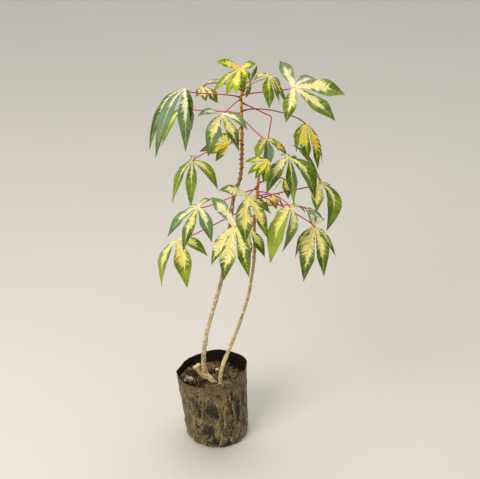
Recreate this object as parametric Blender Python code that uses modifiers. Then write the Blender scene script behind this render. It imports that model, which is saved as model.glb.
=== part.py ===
"""Potted variegated cassava: two leafy shoots in a black nursery bag of soil.

Metres, +Z up. The origin is the middle of the bag's flat base, on the ground.
-Y is the front, the side that the plant is measured from.
"""

import math
import random
from dataclasses import dataclass

import bmesh
import bpy
from mathutils import Matrix, Vector
from mathutils.bvhtree import BVHTree
from mathutils.geometry import intersect_point_line

# Driving dimensions of the nursery bag
BAG_HALF_WIDTH = 0.0785
BAG_HALF_DEPTH = 0.0675
BAG_FOOT_RADIUS = 0.0725
BAG_FLAT_RADIUS = 0.064
FILM_THICKNESS = 0.001
RIM_MEAN_HEIGHT = 0.179
RIM_RISE_TO_RIGHT = 0.010
RIM_RISE_TO_BACK = 0.0045
BAG_LEAN = -0.011
FOOT_ROUNDING = 0.008

# The bag's lay-flat side creases: where they run, how far they stand out, and their rim peaks
LEFT_CREASE = math.radians(184)
LEFT_CREASE_DEPTH = 0.0055
LEFT_CREASE_PEAK = 0.006
RIGHT_CREASE = math.radians(5)
RIGHT_CREASE_DEPTH = 0.002
RIGHT_CREASE_PEAK = 0.009
CREASE_SPREAD = 0.13
PEAK_SPREAD_LEFT = 0.25
PEAK_SPREAD_RIGHT = 0.42
FOLD_DEPTH = 0.0011
FOLD_COUNT = 5
FOLD_SLANT = 14.0
GATHER_DEPTH = 0.0013
GATHER_COUNT = 13
RIM_RIPPLE = 0.0012
BAG_SIDES = 48
WALL_SHARES = [0.0, 0.08, 0.24, 0.42, 0.6, 0.8, 1.0]

# The soil's surface: height, slope up to the front, dish round the stems and hollow at the left
SOIL_HEIGHT = 0.156
SOIL_SLOPE = -0.09
SOIL_RELIEF = 0.0022
DISH_PLACE = (-0.010, -0.010)
DISH_DEPTH = 0.003
DISH_SPREAD = 0.030
HOLLOW_PLACE = (-0.062, -0.034)
HOLLOW_DEPTH = 0.011
HOLLOW_SPREAD = 0.026
SOIL_RINGS = [0.18, 0.36, 0.54, 0.7, 0.85, 1.0]
SOIL_WALL_HEIGHTS = [0.10, 0.05, 0.010]
SOIL_SIDES = 32

# What lies on the soil: name, finish, place, and half its length, width and height
STONES = [
    ("white_pebble", "white_stone", (0.001, 0.028), (0.0042, 0.0036, 0.0032)),
    ("surface_clod", "clod", (-0.066, -0.013), (0.0135, 0.0085, 0.0066)),
]
STONE_ROUGHNESS = (0.88, 1.06)

# Gap that separate pieces keep where they touch
CLEARANCE = 0.0003

# Driving dimensions of the leaves and their stalks
BLADE_THICKNESS = 0.0008
STALK_RADIUS = 0.0014
STALK_FOOT_SWELL = 1.35
STALK_TAPER = 0.5
STALK_TAPER_END = 0.4
STALK_STEP = 0.016
HUB_RADIUS = 0.006
HUB_SHARE = 0.12
ROOM_SHARE = 0.92
LOBE_FOLD = 0.16
LOBE_WAVE = 0.10
WAVE_TURNS = 8.5
OUTER_NOTCH = 0.7
WIDEST_AT = 0.6
LOBE_BASE_WIDTH = 0.22
BASE_FILLING = 1.4
TIP_FILLING = 1.8
TIP_DRAW = 0.35
LONG_LOBE = 0.07
LONG_STATIONS = 7
SHORT_STATIONS = 6
STATION_CROWDING = 0.92
MIDRIB_MARKS = 16

# How a stalk's curve leaves its stem and turns in to the hub, and when it comes from above
LEAVING_SHARE = 0.6
KNEE_SHARE = 0.95
ARRIVAL_TURN = 0.7
ARRIVAL_HANDLE = 0.02
ARRIVAL_SHARE = 0.3
UNDERSIDE_LIMIT = -0.15

# Lobes are measured as seen from the front, looking down by this angle
LOOK_DOWN = math.radians(28.6)

# Spacing along the stems, how their scars swell and stand out, and how deep their holes run
STEM_STEP = 0.016
SCAR_SWELL = 0.16
SCAR_SPREAD = 4.0
SCAR_TURN = math.tau * 2 / 5
BUMP_LIFT = 2.0
BUMP_SINK = 0.9
BUMP_STRETCH = 1.15
TALL_BUMP = 0.0022
SHORT_BUMP = 0.0019
HOLE_MARKS = 5

MM = 0.001
SEED = 7
SHARP_ANGLE = math.radians(40)
WELD = 0.00001

# Centre lines of the two stems, from their buried end up: x, y, z and radius in millimetres
TALL_STEM = [
    (0, -13, 138, 6.2), (-5, -17, 151, 6.6), (-14, -14, 161, 6.8), (-25, -9, 172, 6.6),
    (-29, -6, 190, 6.2), (-29, -4, 222, 5.6), (-23, 0, 271, 5.1), (-15, 2, 307, 4.7),
    (-6, 4, 341, 4.5), (4, 7, 377, 4.5),
    (13, 10, 413, 4.4), (24, 14, 477, 4.2), (34, 18, 555, 4.1), (40, 21, 606, 4.0),
    (46, 23, 634, 4.0), (54, 24, 653, 3.9), (58, 25, 680, 3.8), (59, 26, 723, 3.7),
    (59, 28, 767, 3.5), (58, 30, 808, 3.3), (57, 30, 840, 3.2), (60, 30, 856, 2.9),
    (62, 29, 867, 1.8),
]
SHORT_STEM = [
    (7, -27, 118, 4.6), (9, -25, 150, 5.2), (10, -25, 176, 5.1), (14, -25, 201, 5.0),
    (22, -26, 229, 4.8), (32, -27, 258, 4.6), (48, -30, 306, 4.3), (61, -32, 353, 4.0),
    (73, -35, 400, 3.7), (80, -37, 449, 3.4), (85, -38, 492, 3.3), (86, -40, 535, 3.2),
    (85, -40, 562, 3.2), (87, -40, 616, 3.2), (91, -40, 662, 3.1), (93, -40, 686, 3.0),
    (95, -40, 704, 2.6), (97, -40, 714, 1.6),
]
# The stub of an old branch at the foot of the tall stem, and the knobs of its healed end
STUB = [(-24, -9, 160, 5.4), (-34, -8, 167, 5.3), (-41, -8, 179, 5.0), (-45, -8, 188, 4.6)]
STUB_KNOBS = [(-49, -9, 189, 5.4), (-42, -7, 194, 5.8)]

# Heights of the leaf scars and their raised bumps, in millimetres
TALL_SCARS = [
    232, 262, 296, 330, 366, 404, 446, 492, 540, 592, 620, 642, 656, 668, 679, 690, 701, 712, 723,
    733, 757,
]
SHORT_SCARS = [232, 282, 330, 378, 425, 470, 500, 516, 533, 551, 566, 594, 618]


@dataclass
class Lobe:
    """One finger of a leaf: its tip from the leaf's hub, and its width, in millimetres."""

    across: float
    down: float
    toward: float
    width: float
    bow: float = 0.0
    twist: float = 0.0
    lift: float = 0.0


@dataclass
class Leaf:
    """One leaf: where its stalk leaves the stem, where its lobes meet, and its lobes."""

    name: str
    stem: str
    height: float
    hub: tuple
    lobes: list
    arch: float = 0.3
    rise: float = 0.04
    bend: tuple = None
    colour: str = "leaf"


LEAVES = [
    Leaf("tall_tip_leaf", "tall", 863, (77, 42, 867), [
        Lobe(13, -34, 0, 10), Lobe(7, -24, 8, 10), Lobe(-6, -18, 12, 9), Lobe(-10, 32, -8, 14)],
        arch=0.0, colour="young"),
    Leaf("tall_leaf_01", "tall", 838, (-53, -20, 871), [
        Lobe(-40, 40, -75, 22), Lobe(-75, 115, -42, 26, -14, -45), Lobe(-57, 136, 18, 34, -5),
        Lobe(2, 125, 25, 33, 2), Lobe(8, 76, 12, 20, 4)], arch=0.4, rise=0.04),
    Leaf("tall_leaf_02", "tall", 802, (-59, 60, 805), [
        Lobe(-50, 45, -55, 24), Lobe(-50, 80, -10, 26), Lobe(2, 80, 5, 26), Lobe(10, 40, -70, 22)],
        arch=0.35),
    Leaf("tall_leaf_03", "tall", 852, (-21, 60, 849), [
        Lobe(34, -20, -20, 10), Lobe(-16, 6, -30, 14), Lobe(-15, 23, 5, 16), Lobe(6, 32, 15, 18),
        Lobe(30, 34, 5, 24)], arch=0.15, rise=0.14),
    Leaf("tall_leaf_04", "tall", 856, (56, -5, 909), [
        Lobe(-48, -13, 10, 16), Lobe(-56, 46, -5, 17), Lobe(-28, 54, 8, 25), Lobe(-9, 56, 40, 26),
        Lobe(7, 50, 15, 22), Lobe(15, 26, 42, 15), Lobe(30, -7, 15, 17)], arch=0.14, colour="young"),
    Leaf("tall_leaf_05", "tall", 848, (112, -10, 894), [
        Lobe(-8, -9, -35, 12), Lobe(-31, 8, 0, 15, 0, 0, 6), Lobe(0, 65, 18, 29), Lobe(20, 52, 16, 15),
        Lobe(35, 55, -8, 17), Lobe(25, 10, -50, 16)], rise=0.14),
    Leaf("tall_leaf_06", "tall", 843, (162, -20, 876), [
        Lobe(-18, 74, 35, 27), Lobe(80, 67, 10, 35), Lobe(101, 14, -5, 42, 0, 0, 4),
        Lobe(52, -18, -40, 27, 0, 0, 14), Lobe(-27, -58, -30, 27)], arch=0.12, rise=0.02),
    Leaf("tall_leaf_07", "tall", 808, (189, 20, 783), [
        Lobe(-17, 56, -16, 22, -10), Lobe(6, 72, 14, 33, -8), Lobe(26, 92, 2, 33, 7),
        Lobe(39, 76, -40, 24, 6), Lobe(34, 40, -60, 20)], arch=0.28, rise=0.15),
    Leaf("tall_leaf_08", "tall", 834, (18, -60, 834), [
        Lobe(-44, 8, 40, 15), Lobe(-25, 84, 20, 30), Lobe(35, 74, 20, 26), Lobe(52, 32, 25, 24)]),
    Leaf("tall_leaf_09", "tall", 776, (33, -30, 759), [
        Lobe(-17, -25, -20, 18), Lobe(-61, 13, -20, 20), Lobe(-41, 21, 10, 20), Lobe(-28, 34, -8, 16)],
        arch=0.15, colour="shaded"),
    Leaf("tall_leaf_10", "tall", 745, (-44, 10, 704), [
        Lobe(2, -12, -45, 14), Lobe(-35, 30, -60, 18), Lobe(-43, 87, -10, 25, -6), Lobe(-4, 98, 0, 25),
        Lobe(53, 60, 10, 26, 6)], arch=0.35),
    Leaf("tall_leaf_11", "tall", 792, (109, -40, 774), [
        Lobe(-24, 14, -20, 16), Lobe(-22, 42, 15, 26), Lobe(4, 57, 0, 25), Lobe(20, 18, 18, 14)],
        rise=0.0),
    Leaf("tall_leaf_12", "tall", 826, (113, 25, 747), [
        Lobe(-20, 30, -20, 18), Lobe(4, 40, -25, 18), Lobe(42, 37, 10, 22)],
        bend=(134, 30, 804), colour="shaded"),
    Leaf("short_leaf_01", "short", 706, (154, -45, 735), [
        Lobe(-14, -8, -30, 14), Lobe(-47, 74, 20, 33), Lobe(9, 93, 15, 25, 0, 40),
        Lobe(52, 84, 10, 48, 12), Lobe(15, 5, -60, 18)], arch=0.35),
    Leaf("short_leaf_02", "short", 697, (112, -90, 749), [
        Lobe(-48, 2, 0, 18), Lobe(-42, 27, 12, 17), Lobe(-28, 38, 34, 17), Lobe(-11, 45, 20, 18)],
        arch=0.15, colour="young"),
    Leaf("short_leaf_03", "short", 640, (222, -30, 671), [
        Lobe(-61, -80, 12, 15, 3), Lobe(-11, 60, 35, 28, -6), Lobe(11, 98, 0, 35, 40, 55),
        Lobe(38, 30, -50, 22)], arch=0.3, rise=0.05),
    Leaf("short_leaf_04", "short", 672, (71, -120, 686), [
        Lobe(-57, -11, 25, 24), Lobe(-5, 92, 20, 40, -8), Lobe(39, 84, 10, 29), Lobe(46, 34, -20, 21)],
        arch=0.2),
    Leaf("short_leaf_05", "short", 604, (45, -125, 621), [
        Lobe(-49, -59, -10, 26), Lobe(-48, 77, -15, 27, -4), Lobe(-23, 108, 10, 38),
        Lobe(28, 101, 20, 30)], arch=0.2),
    Leaf("short_leaf_06", "short", 665, (-30, -90, 646), [
        Lobe(27, -18, -30, 14), Lobe(-38, 14, -45, 20), Lobe(-61, 59, 10, 28), Lobe(-29, 88, 20, 27),
        Lobe(29, 70, 30, 27)], rise=0.03),
    Leaf("short_leaf_07", "short", 630, (-75, -70, 562), [
        Lobe(-26, 48, -60, 22), Lobe(-32, 98, 10, 30, -20), Lobe(21, 101, 15, 37),
        Lobe(64, 34, 36, 25)], arch=0.28, rise=0.0),
    Leaf("short_leaf_08", "short", 658, (155, -100, 652), [
        Lobe(-39, 43, -30, 22), Lobe(-40, 113, 20, 38, -6), Lobe(-15, 90, 0, 26, 24),
        Lobe(35, 10, -50, 20)], rise=0.13),
    Leaf("short_leaf_09", "short", 652, (209, -70, 592), [
        Lobe(-39, 64, -10, 17, -8), Lobe(-24, 113, 20, 38), Lobe(18, 102, 20, 33, 4),
        Lobe(44, 61, -5, 16), Lobe(24, -16, -60, 18), Lobe(-5, -28, -50, 18)], rise=0.03),
    Leaf("short_leaf_10", "short", 678, (150, 20, 657), [
        Lobe(-22, 22, -20, 18), Lobe(6, 42, 28, 20), Lobe(20, 32, -8, 18), Lobe(28, 0, -45, 16)],
        colour="shaded"),
    Leaf("short_leaf_11", "short", 646, (122, 30, 612), [
        Lobe(-10, 25, -5, 18), Lobe(10, 28, 25, 18), Lobe(27, 20, -5, 18), Lobe(20, -5, -40, 14)],
        colour="shaded"),
    Leaf("short_leaf_12", "short", 590, (74, -75, 585), [
        Lobe(-25, 35, -30, 20), Lobe(-4, 70, -5, 22), Lobe(32, 54, 10, 22)], colour="shaded"),
    Leaf("short_leaf_13", "short", 624, (196, 0, 598), [
        Lobe(22, 46, 5, 20), Lobe(40, 26, -12, 22), Lobe(24, 20, -40, 20), Lobe(14, 6, -60, 16)],
        arch=0.25),
]

# Base colour, roughness and metallic value of each material
FINISHES = {
    "black_film": ((0.035, 0.034, 0.028), 0.42, 0.0),
    "soil": ((0.075, 0.030, 0.018), 0.95, 0.0),
    "clod": ((0.30, 0.17, 0.12), 0.9, 0.0),
    "white_stone": ((0.78, 0.72, 0.64), 0.7, 0.0),
    "tall_bark": ((0.46, 0.33, 0.17), 0.7, 0.0),
    "short_bark": ((0.36, 0.26, 0.12), 0.6, 0.0),
    "stalk_skin": ((0.42, 0.06, 0.07), 0.45, 0.0),
    "leaf": ((0.34, 0.42, 0.09), 0.45, 0.0),
    "young": ((0.62, 0.48, 0.10), 0.45, 0.0),
    "shaded": ((0.55, 0.47, 0.07), 0.5, 0.0),
}


def clear_scene():
    for old in list(bpy.data.objects):
        bpy.data.objects.remove(old, do_unlink=True)


def new_collection(name):
    collection = bpy.data.collections.new(name)
    bpy.context.scene.collection.children.link(collection)
    return collection


def finish_material(name, finish):
    """A plain Principled material in one of the listed finishes."""
    colour, roughness, metallic = FINISHES[finish]
    material = bpy.data.materials.new(name)
    material.use_nodes = True
    shader = material.node_tree.nodes["Principled BSDF"]
    shader.inputs["Base Color"].default_value = (*colour, 1.0)
    shader.inputs["Roughness"].default_value = roughness
    shader.inputs["Metallic"].default_value = metallic
    return material


def add_object(name, mesh, collection, finish, smooth=True):
    thing = bpy.data.objects.new(name, mesh)
    collection.objects.link(thing)
    mesh.materials.clear()
    mesh.materials.append(finish_material(name + "_finish", finish))
    if smooth:
        mesh.shade_smooth()
        mesh.set_sharp_from_angle(angle=SHARP_ANGLE)
    return thing


def mesh_from(build, name):
    """The mesh that the given function fills, with its normals pointing out."""
    shape = bmesh.new()
    build(shape)
    bmesh.ops.recalc_face_normals(shape, faces=shape.faces)
    mesh = bpy.data.meshes.new(name)
    shape.to_mesh(mesh)
    shape.free()
    return mesh


def evaluated_mesh(thing, name):
    depsgraph = bpy.context.evaluated_depsgraph_get()
    mesh = bpy.data.meshes.new_from_object(thing.evaluated_get(depsgraph))
    mesh.name = name
    return mesh


def tube_mesh(name, points, radii, sides=1):
    """A round tube through the points, with a radius at each and both ends capped."""
    curve = bpy.data.curves.new(name, "CURVE")
    curve.dimensions = "3D"
    curve.bevel_depth = 1.0
    curve.bevel_resolution = sides
    curve.use_fill_caps = True
    spline = curve.splines.new("POLY")
    spline.points.add(len(points) - 1)
    for spot, place, radius in zip(spline.points, points, radii):
        spot.co = (*place, 1.0)
        spot.radius = radius
    holder = bpy.data.objects.new(name + "_curve", curve)
    bpy.context.scene.collection.objects.link(holder)
    bpy.context.view_layer.update()
    mesh = evaluated_mesh(holder, name)
    bpy.data.objects.remove(holder, do_unlink=True)
    bpy.data.curves.remove(curve)
    shape = bmesh.new()
    shape.from_mesh(mesh)
    bmesh.ops.remove_doubles(shape, verts=shape.verts, dist=WELD)
    bmesh.ops.recalc_face_normals(shape, faces=shape.faces)
    shape.to_mesh(mesh)
    shape.free()
    return mesh


def smooth_path(marks, step):
    """Points about one step apart on a smooth curve through the marks, each with its last values."""
    marks = [Vector(mark) * MM for mark in marks]
    ends = [marks[0] * 2 - marks[1]] + marks + [marks[-1] * 2 - marks[-2]]
    path = []
    for i in range(1, len(ends) - 2):
        before, start, stop, after = ends[i - 1:i + 3]
        count = max(1, round((stop - start).length / step))
        for k in range(count):
            t = k / count
            path.append(0.5 * (
                2 * start + (stop - before) * t
                + (2 * before - 5 * start + 4 * stop - after) * t ** 2
                + (3 * start - before - 3 * stop + after) * t ** 3))
    path.append(marks[-1])
    return path


def at_height(marks, height):
    """The place on a stem's centre line at a height in millimetres, and the radius there."""
    for low, high in zip(marks, marks[1:]):
        if low[2] <= height <= high[2]:
            share = (height - low[2]) / (high[2] - low[2])
            mixed = [a + (b - a) * share for a, b in zip(low, high)]
            return Vector(mixed[:3]) * MM, mixed[3] * MM
    return Vector(marks[-1][:3]) * MM, marks[-1][3] * MM


def seen(across, down, toward):
    """An offset measured from the front, across, down and toward the viewer, in metres."""
    up = Vector((0, math.sin(LOOK_DOWN), math.cos(LOOK_DOWN)))
    forward = Vector((0, math.cos(LOOK_DOWN), -math.sin(LOOK_DOWN)))
    return (Vector((1, 0, 0)) * across - up * down - forward * toward) * MM


def film_radius(angle, height):
    """The bag's plain outer radius: a circle at the foot, an oval at the top."""
    share = min(1.0, height / RIM_MEAN_HEIGHT)
    wide = BAG_FOOT_RADIUS + (BAG_HALF_WIDTH - BAG_FOOT_RADIUS) * share
    deep = BAG_FOOT_RADIUS + (BAG_HALF_DEPTH - BAG_FOOT_RADIUS) * share
    return wide * deep / math.hypot(deep * math.cos(angle), wide * math.sin(angle))


def bag_place(angle, radius, height):
    """A place in the bag, whose middle leans to the left toward the top."""
    lean = BAG_LEAN * min(1.0, height / RIM_MEAN_HEIGHT)
    return Vector((lean + radius * math.cos(angle), radius * math.sin(angle), height))


def crease(angle, centre, spread):
    apart = math.atan2(math.sin(angle - centre), math.cos(angle - centre))
    return math.exp(-(apart / spread) ** 2)


def film_folds(angle, height):
    """How far the film stands out from its plain radius: two side creases, folds and gathers."""
    share = min(1.0, height / RIM_MEAN_HEIGHT)
    left = LEFT_CREASE_DEPTH * share * crease(angle, LEFT_CREASE, CREASE_SPREAD)
    right = RIGHT_CREASE_DEPTH * share * crease(angle, RIGHT_CREASE, CREASE_SPREAD)
    folds = FOLD_DEPTH * (1 + math.sin(FOLD_COUNT * angle + FOLD_SLANT * height)) * share
    gathers = GATHER_DEPTH * (1 + math.sin(GATHER_COUNT * angle)) * (1 - share) ** 2
    return left + right + folds + gathers


def rim_height(angle):
    """The height of the bag's uneven rim, with a peak at each side crease."""
    peak_right = RIGHT_CREASE_PEAK * crease(angle, RIGHT_CREASE, PEAK_SPREAD_RIGHT)
    peak_left = LEFT_CREASE_PEAK * crease(angle, LEFT_CREASE, PEAK_SPREAD_LEFT)
    ripple = RIM_RIPPLE * math.sin(FOLD_COUNT * angle)
    lean = RIM_RISE_TO_RIGHT * math.cos(angle) + RIM_RISE_TO_BACK * math.sin(angle)
    return RIM_MEAN_HEIGHT + lean + peak_right + peak_left + ripple


def bag_surface(shape):
    """The film's outer face: a flat base, a rounded foot and the wall up to the rim."""
    rings = []
    for turn in (0.0, 0.5):
        height = FOOT_ROUNDING * (1 - math.cos(math.pi / 2 * turn))
        ring = []
        for i in range(BAG_SIDES):
            angle = math.tau * i / BAG_SIDES
            foot = film_radius(angle, FOOT_ROUNDING) + film_folds(angle, FOOT_ROUNDING)
            radius = BAG_FLAT_RADIUS + (foot - BAG_FLAT_RADIUS) * math.sin(math.pi / 2 * turn)
            ring.append(shape.verts.new(bag_place(angle, radius, height)))
        rings.append(ring)
    for share in WALL_SHARES:
        ring = []
        for i in range(BAG_SIDES):
            angle = math.tau * i / BAG_SIDES
            height = FOOT_ROUNDING + (rim_height(angle) - FOOT_ROUNDING) * share
            radius = film_radius(angle, height) + film_folds(angle, height)
            ring.append(shape.verts.new(bag_place(angle, radius, height)))
        rings.append(ring)
    shape.faces.new(rings[0])
    for low, high in zip(rings, rings[1:]):
        for i in range(BAG_SIDES):
            j = (i + 1) % BAG_SIDES
            shape.faces.new((low[i], low[j], high[j], high[i]))


def orient_outward(mesh):
    """Turns an open bowl's faces so that its base faces down."""
    shape = bmesh.new()
    shape.from_mesh(mesh)
    lowest = min(shape.faces, key=lambda face: face.calc_center_median().z)
    if lowest.normal.z > 0:
        bmesh.ops.reverse_faces(shape, faces=shape.faces)
    shape.to_mesh(mesh)
    shape.free()


def make_bag(collection):
    mesh = mesh_from(bag_surface, "nursery_bag")
    orient_outward(mesh)
    bag = add_object("nursery_bag", mesh, collection, "black_film")
    shell = bag.modifiers.new("film", "SOLIDIFY")
    shell.thickness = FILM_THICKNESS
    shell.offset = -1.0
    return bag


def soil_top(x, y):
    """The soil's surface: higher at the front, with a dish round the stems and a hollow at left."""
    dish = DISH_DEPTH * math.exp(-(math.dist((x, y), DISH_PLACE) / DISH_SPREAD) ** 2)
    hollow = HOLLOW_DEPTH * math.exp(-(math.dist((x, y), HOLLOW_PLACE) / HOLLOW_SPREAD) ** 2)
    return SOIL_HEIGHT + SOIL_SLOPE * y - dish - hollow


def soil_surface(shape):
    """A filled bag shape: a crumbly top, the wall inside the film, and a flat underside."""
    rng = random.Random(SEED)
    inset = FILM_THICKNESS + 2 * CLEARANCE
    floor = FILM_THICKNESS + CLEARANCE
    top_rings = []
    for share in SOIL_RINGS:
        ring = []
        for i in range(SOIL_SIDES):
            angle = math.tau * i / SOIL_SIDES
            radius = (film_radius(angle, SOIL_HEIGHT) - inset) * share
            place = bag_place(angle, radius, SOIL_HEIGHT)
            place.z = soil_top(place.x, place.y) + rng.uniform(-SOIL_RELIEF, SOIL_RELIEF)
            ring.append(shape.verts.new(place))
        top_rings.append(ring)
    middle = bag_place(0.0, 0.0, SOIL_HEIGHT)
    centre = shape.verts.new((middle.x, middle.y, soil_top(middle.x, middle.y)))
    rings = list(reversed(top_rings))
    inner = rings[-1]
    for i in range(SOIL_SIDES):
        shape.faces.new((centre, inner[i], inner[(i + 1) % SOIL_SIDES]))
    walls = []
    for height in SOIL_WALL_HEIGHTS:
        ring = []
        for i in range(SOIL_SIDES):
            angle = math.tau * i / SOIL_SIDES
            ring.append(shape.verts.new(bag_place(angle, film_radius(angle, height) - inset, height)))
        walls.append(ring)
    base = []
    for i in range(SOIL_SIDES):
        angle = math.tau * i / SOIL_SIDES
        radius = BAG_FLAT_RADIUS - inset
        base.append(shape.verts.new(bag_place(angle, radius, floor)))
    loops = list(reversed(rings)) + walls + [base]
    for outer, deeper in zip(loops, loops[1:]):
        for i in range(SOIL_SIDES):
            j = (i + 1) % SOIL_SIDES
            shape.faces.new((outer[i], outer[j], deeper[j], deeper[i]))
    shape.faces.new(base)
    bmesh.ops.triangulate(shape, faces=shape.faces)


def make_soil(collection, cutters):
    mesh = mesh_from(soil_surface, "potting_soil")
    soil = add_object("potting_soil", mesh, collection, "soil", smooth=False)
    for cutter in cutters.objects:
        cut = soil.modifiers.new(cutter.name, "BOOLEAN")
        cut.operation = "DIFFERENCE"
        cut.object = cutter
    return soil


def stem_radii(path, marks, scars):
    """The stem's radius along its path, swollen where a leaf has grown."""
    radii = []
    for place in path:
        _, radius = at_height(marks, place.z / MM)
        near = min(abs(place.z / MM - scar) for scar in scars)
        swell = SCAR_SWELL * math.exp(-(near / SCAR_SPREAD) ** 2)
        radii.append(radius * (1 + swell))
    return radii


def knob(name, centre, radius, squash=1.0):
    """A small rounded knob, as a coarse ball."""
    shape = bmesh.new()
    bmesh.ops.create_uvsphere(shape, u_segments=6, v_segments=4, radius=radius)
    bmesh.ops.scale(shape, vec=(1, 1, squash), verts=shape.verts)
    bmesh.ops.translate(shape, vec=centre, verts=shape.verts)
    mesh = bpy.data.meshes.new(name)
    shape.to_mesh(mesh)
    shape.free()
    return mesh


def joined(name, base, additions):
    """One solid from a mesh and the meshes sunk into it, by a single union."""
    body = bpy.data.objects.new(name + "_body", base)
    bpy.context.scene.collection.objects.link(body)
    group = bpy.data.collections.new(name + "_additions")
    bpy.context.scene.collection.children.link(group)
    extras = []
    for mesh in additions:
        extra = bpy.data.objects.new(name + "_addition", mesh)
        group.objects.link(extra)
        extras.append(extra)
    union = body.modifiers.new("union", "BOOLEAN")
    union.operation = "UNION"
    union.operand_type = "COLLECTION"
    union.collection = group
    bpy.context.view_layer.update()
    mesh = evaluated_mesh(body, name)
    for thing in extras + [body]:
        bpy.data.objects.remove(thing, do_unlink=True)
    bpy.data.collections.remove(group)
    return mesh


def scar_bumps(name, marks, scars, size):
    """A raised leaf scar beside each swelling, turned two fifths of a turn from the last."""
    bumps = []
    for i, scar in enumerate(scars):
        place, radius = at_height(marks, scar + BUMP_LIFT)
        angle = i * SCAR_TURN + 1.0
        out = Vector((math.cos(angle), math.sin(angle), 0))
        bumps.append(knob(name, place + out * radius * BUMP_SINK, size, BUMP_STRETCH))
    return bumps


def make_stems(collection, cutters):
    """Both stems and the cutting, and the plain holes that they stand in."""
    path = smooth_path([mark[:3] for mark in TALL_STEM], STEM_STEP)
    stem = tube_mesh("tall_stem", path, stem_radii(path, TALL_STEM, TALL_SCARS), 2)
    places = [Vector(mark[:3]) * MM for mark in STUB]
    stub = tube_mesh("stub", places, [mark[3] * MM for mark in STUB], 2)
    knobs = [knob("stub_knob", Vector(mark[:3]) * MM, mark[3] * MM) for mark in STUB_KNOBS]
    bumps = scar_bumps("tall_bump", TALL_STEM, TALL_SCARS, TALL_BUMP)
    mesh = joined("tall_stem", stem, [stub] + knobs + bumps)
    add_object("tall_stem", mesh, collection, "tall_bark")

    path = smooth_path([mark[:3] for mark in SHORT_STEM], STEM_STEP)
    stem = tube_mesh("short_stem", path, stem_radii(path, SHORT_STEM, SHORT_SCARS), 2)
    bumps = scar_bumps("short_bump", SHORT_STEM, SHORT_SCARS, SHORT_BUMP)
    mesh = joined("short_stem", stem, bumps)
    add_object("short_stem", mesh, collection, "short_bark")

    for name, marks in (("tall_stem_hole", TALL_STEM), ("short_stem_hole", SHORT_STEM)):
        buried = smooth_path([mark[:3] for mark in marks[:HOLE_MARKS]], STEM_STEP)
        radii = [at_height(marks, place.z / MM)[1] + 2 * CLEARANCE for place in buried]
        buried[0] += (buried[0] - buried[1]).normalized() * CLEARANCE
        add_cutter(name, tube_mesh(name, buried, radii, 2), cutters)


def add_cutter(name, mesh, cutters):
    cutter = bpy.data.objects.new(name, mesh)
    cutters.objects.link(cutter)
    cutter.hide_render = True
    cutter.display_type = "WIRE"


def lobe_width(share):
    """A lobe's width along its length as a share of its widest: narrow, broad, then drawn out."""
    if share <= WIDEST_AT:
        part = math.sin(math.pi / 2 * share / WIDEST_AT)
        return LOBE_BASE_WIDTH + (1 - LOBE_BASE_WIDTH) * part ** BASE_FILLING
    rest = (share - WIDEST_AT) / (1 - WIDEST_AT)
    return (1 - rest ** TIP_FILLING) * (1 - TIP_DRAW * rest)


def lobe_frame(lobe, arch):
    """The three points of a lobe's midrib curve, from its hub: start, pull and tip."""
    tip = seen(lobe.across, lobe.down, lobe.toward)
    pull = tip * 0.5 + Vector((0, 0, 1)) * arch * tip.length + Vector((lobe.bow, 0, lobe.lift)) * MM
    return Vector(), pull, tip


def along(frame, share):
    start, pull, tip = frame
    rest = 1 - share
    place = start * rest ** 2 + pull * 2 * rest * share + tip * share ** 2
    heading = (pull - start) * rest + (tip - pull) * share
    return place, heading.normalized()


def turning_axis(ways):
    """The direction that a leaf's hub faces, from the ways that its lobes set out in turn."""
    axis = Vector()
    for first, second in zip(ways, ways[1:]):
        axis += first.cross(second)
    return axis.normalized()


def leaf_layout(leaf):
    """The lobes in turning order from the stalk, their midribs, and the way that the hub faces."""
    frames = [lobe_frame(lobe, leaf.arch) for lobe in leaf.lobes]
    ways = [along(frame, 0.0)[1] for frame in frames]
    facing = turning_axis(ways)
    if facing.dot(seen(0, -1, 1)) < 0:
        facing.negate()
    back = stalk_pull(leaf) - Vector(leaf.hub) * MM
    back = (back - facing * back.dot(facing)).normalized()

    def turn(i):
        return math.atan2(back.cross(ways[i]).dot(facing), back.dot(ways[i])) % math.tau

    order = sorted(range(len(ways)), key=turn)
    lobes = [leaf.lobes[i] for i in order]
    frames = [frames[i] for i in order]
    ways = [ways[i] for i in order]
    return lobes, frames, ways, turning_axis(ways)


def blade_stations(length):
    """How far along a lobe its cross sections lie; a short lobe has fewer."""
    count = LONG_STATIONS if length > LONG_LOBE else SHORT_STATIONS
    return [(k / count) ** STATION_CROWDING for k in range(1, count + 1)]


def notch_points(frames, ways, sides):
    """Offsets from the hub to the notches between the lobes, and to the two outer ones."""
    shortest = min(tip.length for _, _, tip in frames)
    reach = min(HUB_RADIUS, HUB_SHARE * shortest)
    first = (ways[0] - sides[0] * OUTER_NOTCH).normalized() * reach * OUTER_NOTCH
    last = (ways[-1] + sides[-1] * OUTER_NOTCH).normalized() * reach * OUTER_NOTCH
    between = [(one + other).normalized() * reach for one, other in zip(ways, ways[1:])]
    return [first] + between + [last]


def room_beside(place, lobe, neighbour):
    """How wide a lobe can be at a place on its midrib before it would meet the lobe beside it."""
    if neighbour is None:
        return math.inf
    other, frame = neighbour
    marks = [along(frame, k / MIDRIB_MARKS)[0] for k in range(MIDRIB_MARKS + 1)]
    gaps = []
    for start, stop in zip(marks, marks[1:]):
        _, share = intersect_point_line(place, start, stop)
        foot = start.lerp(stop, min(1.0, max(0.0, share)))
        gaps.append((foot - place).length)
    return min(gaps) * ROOM_SHARE * lobe.width / (lobe.width + other.width)


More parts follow.
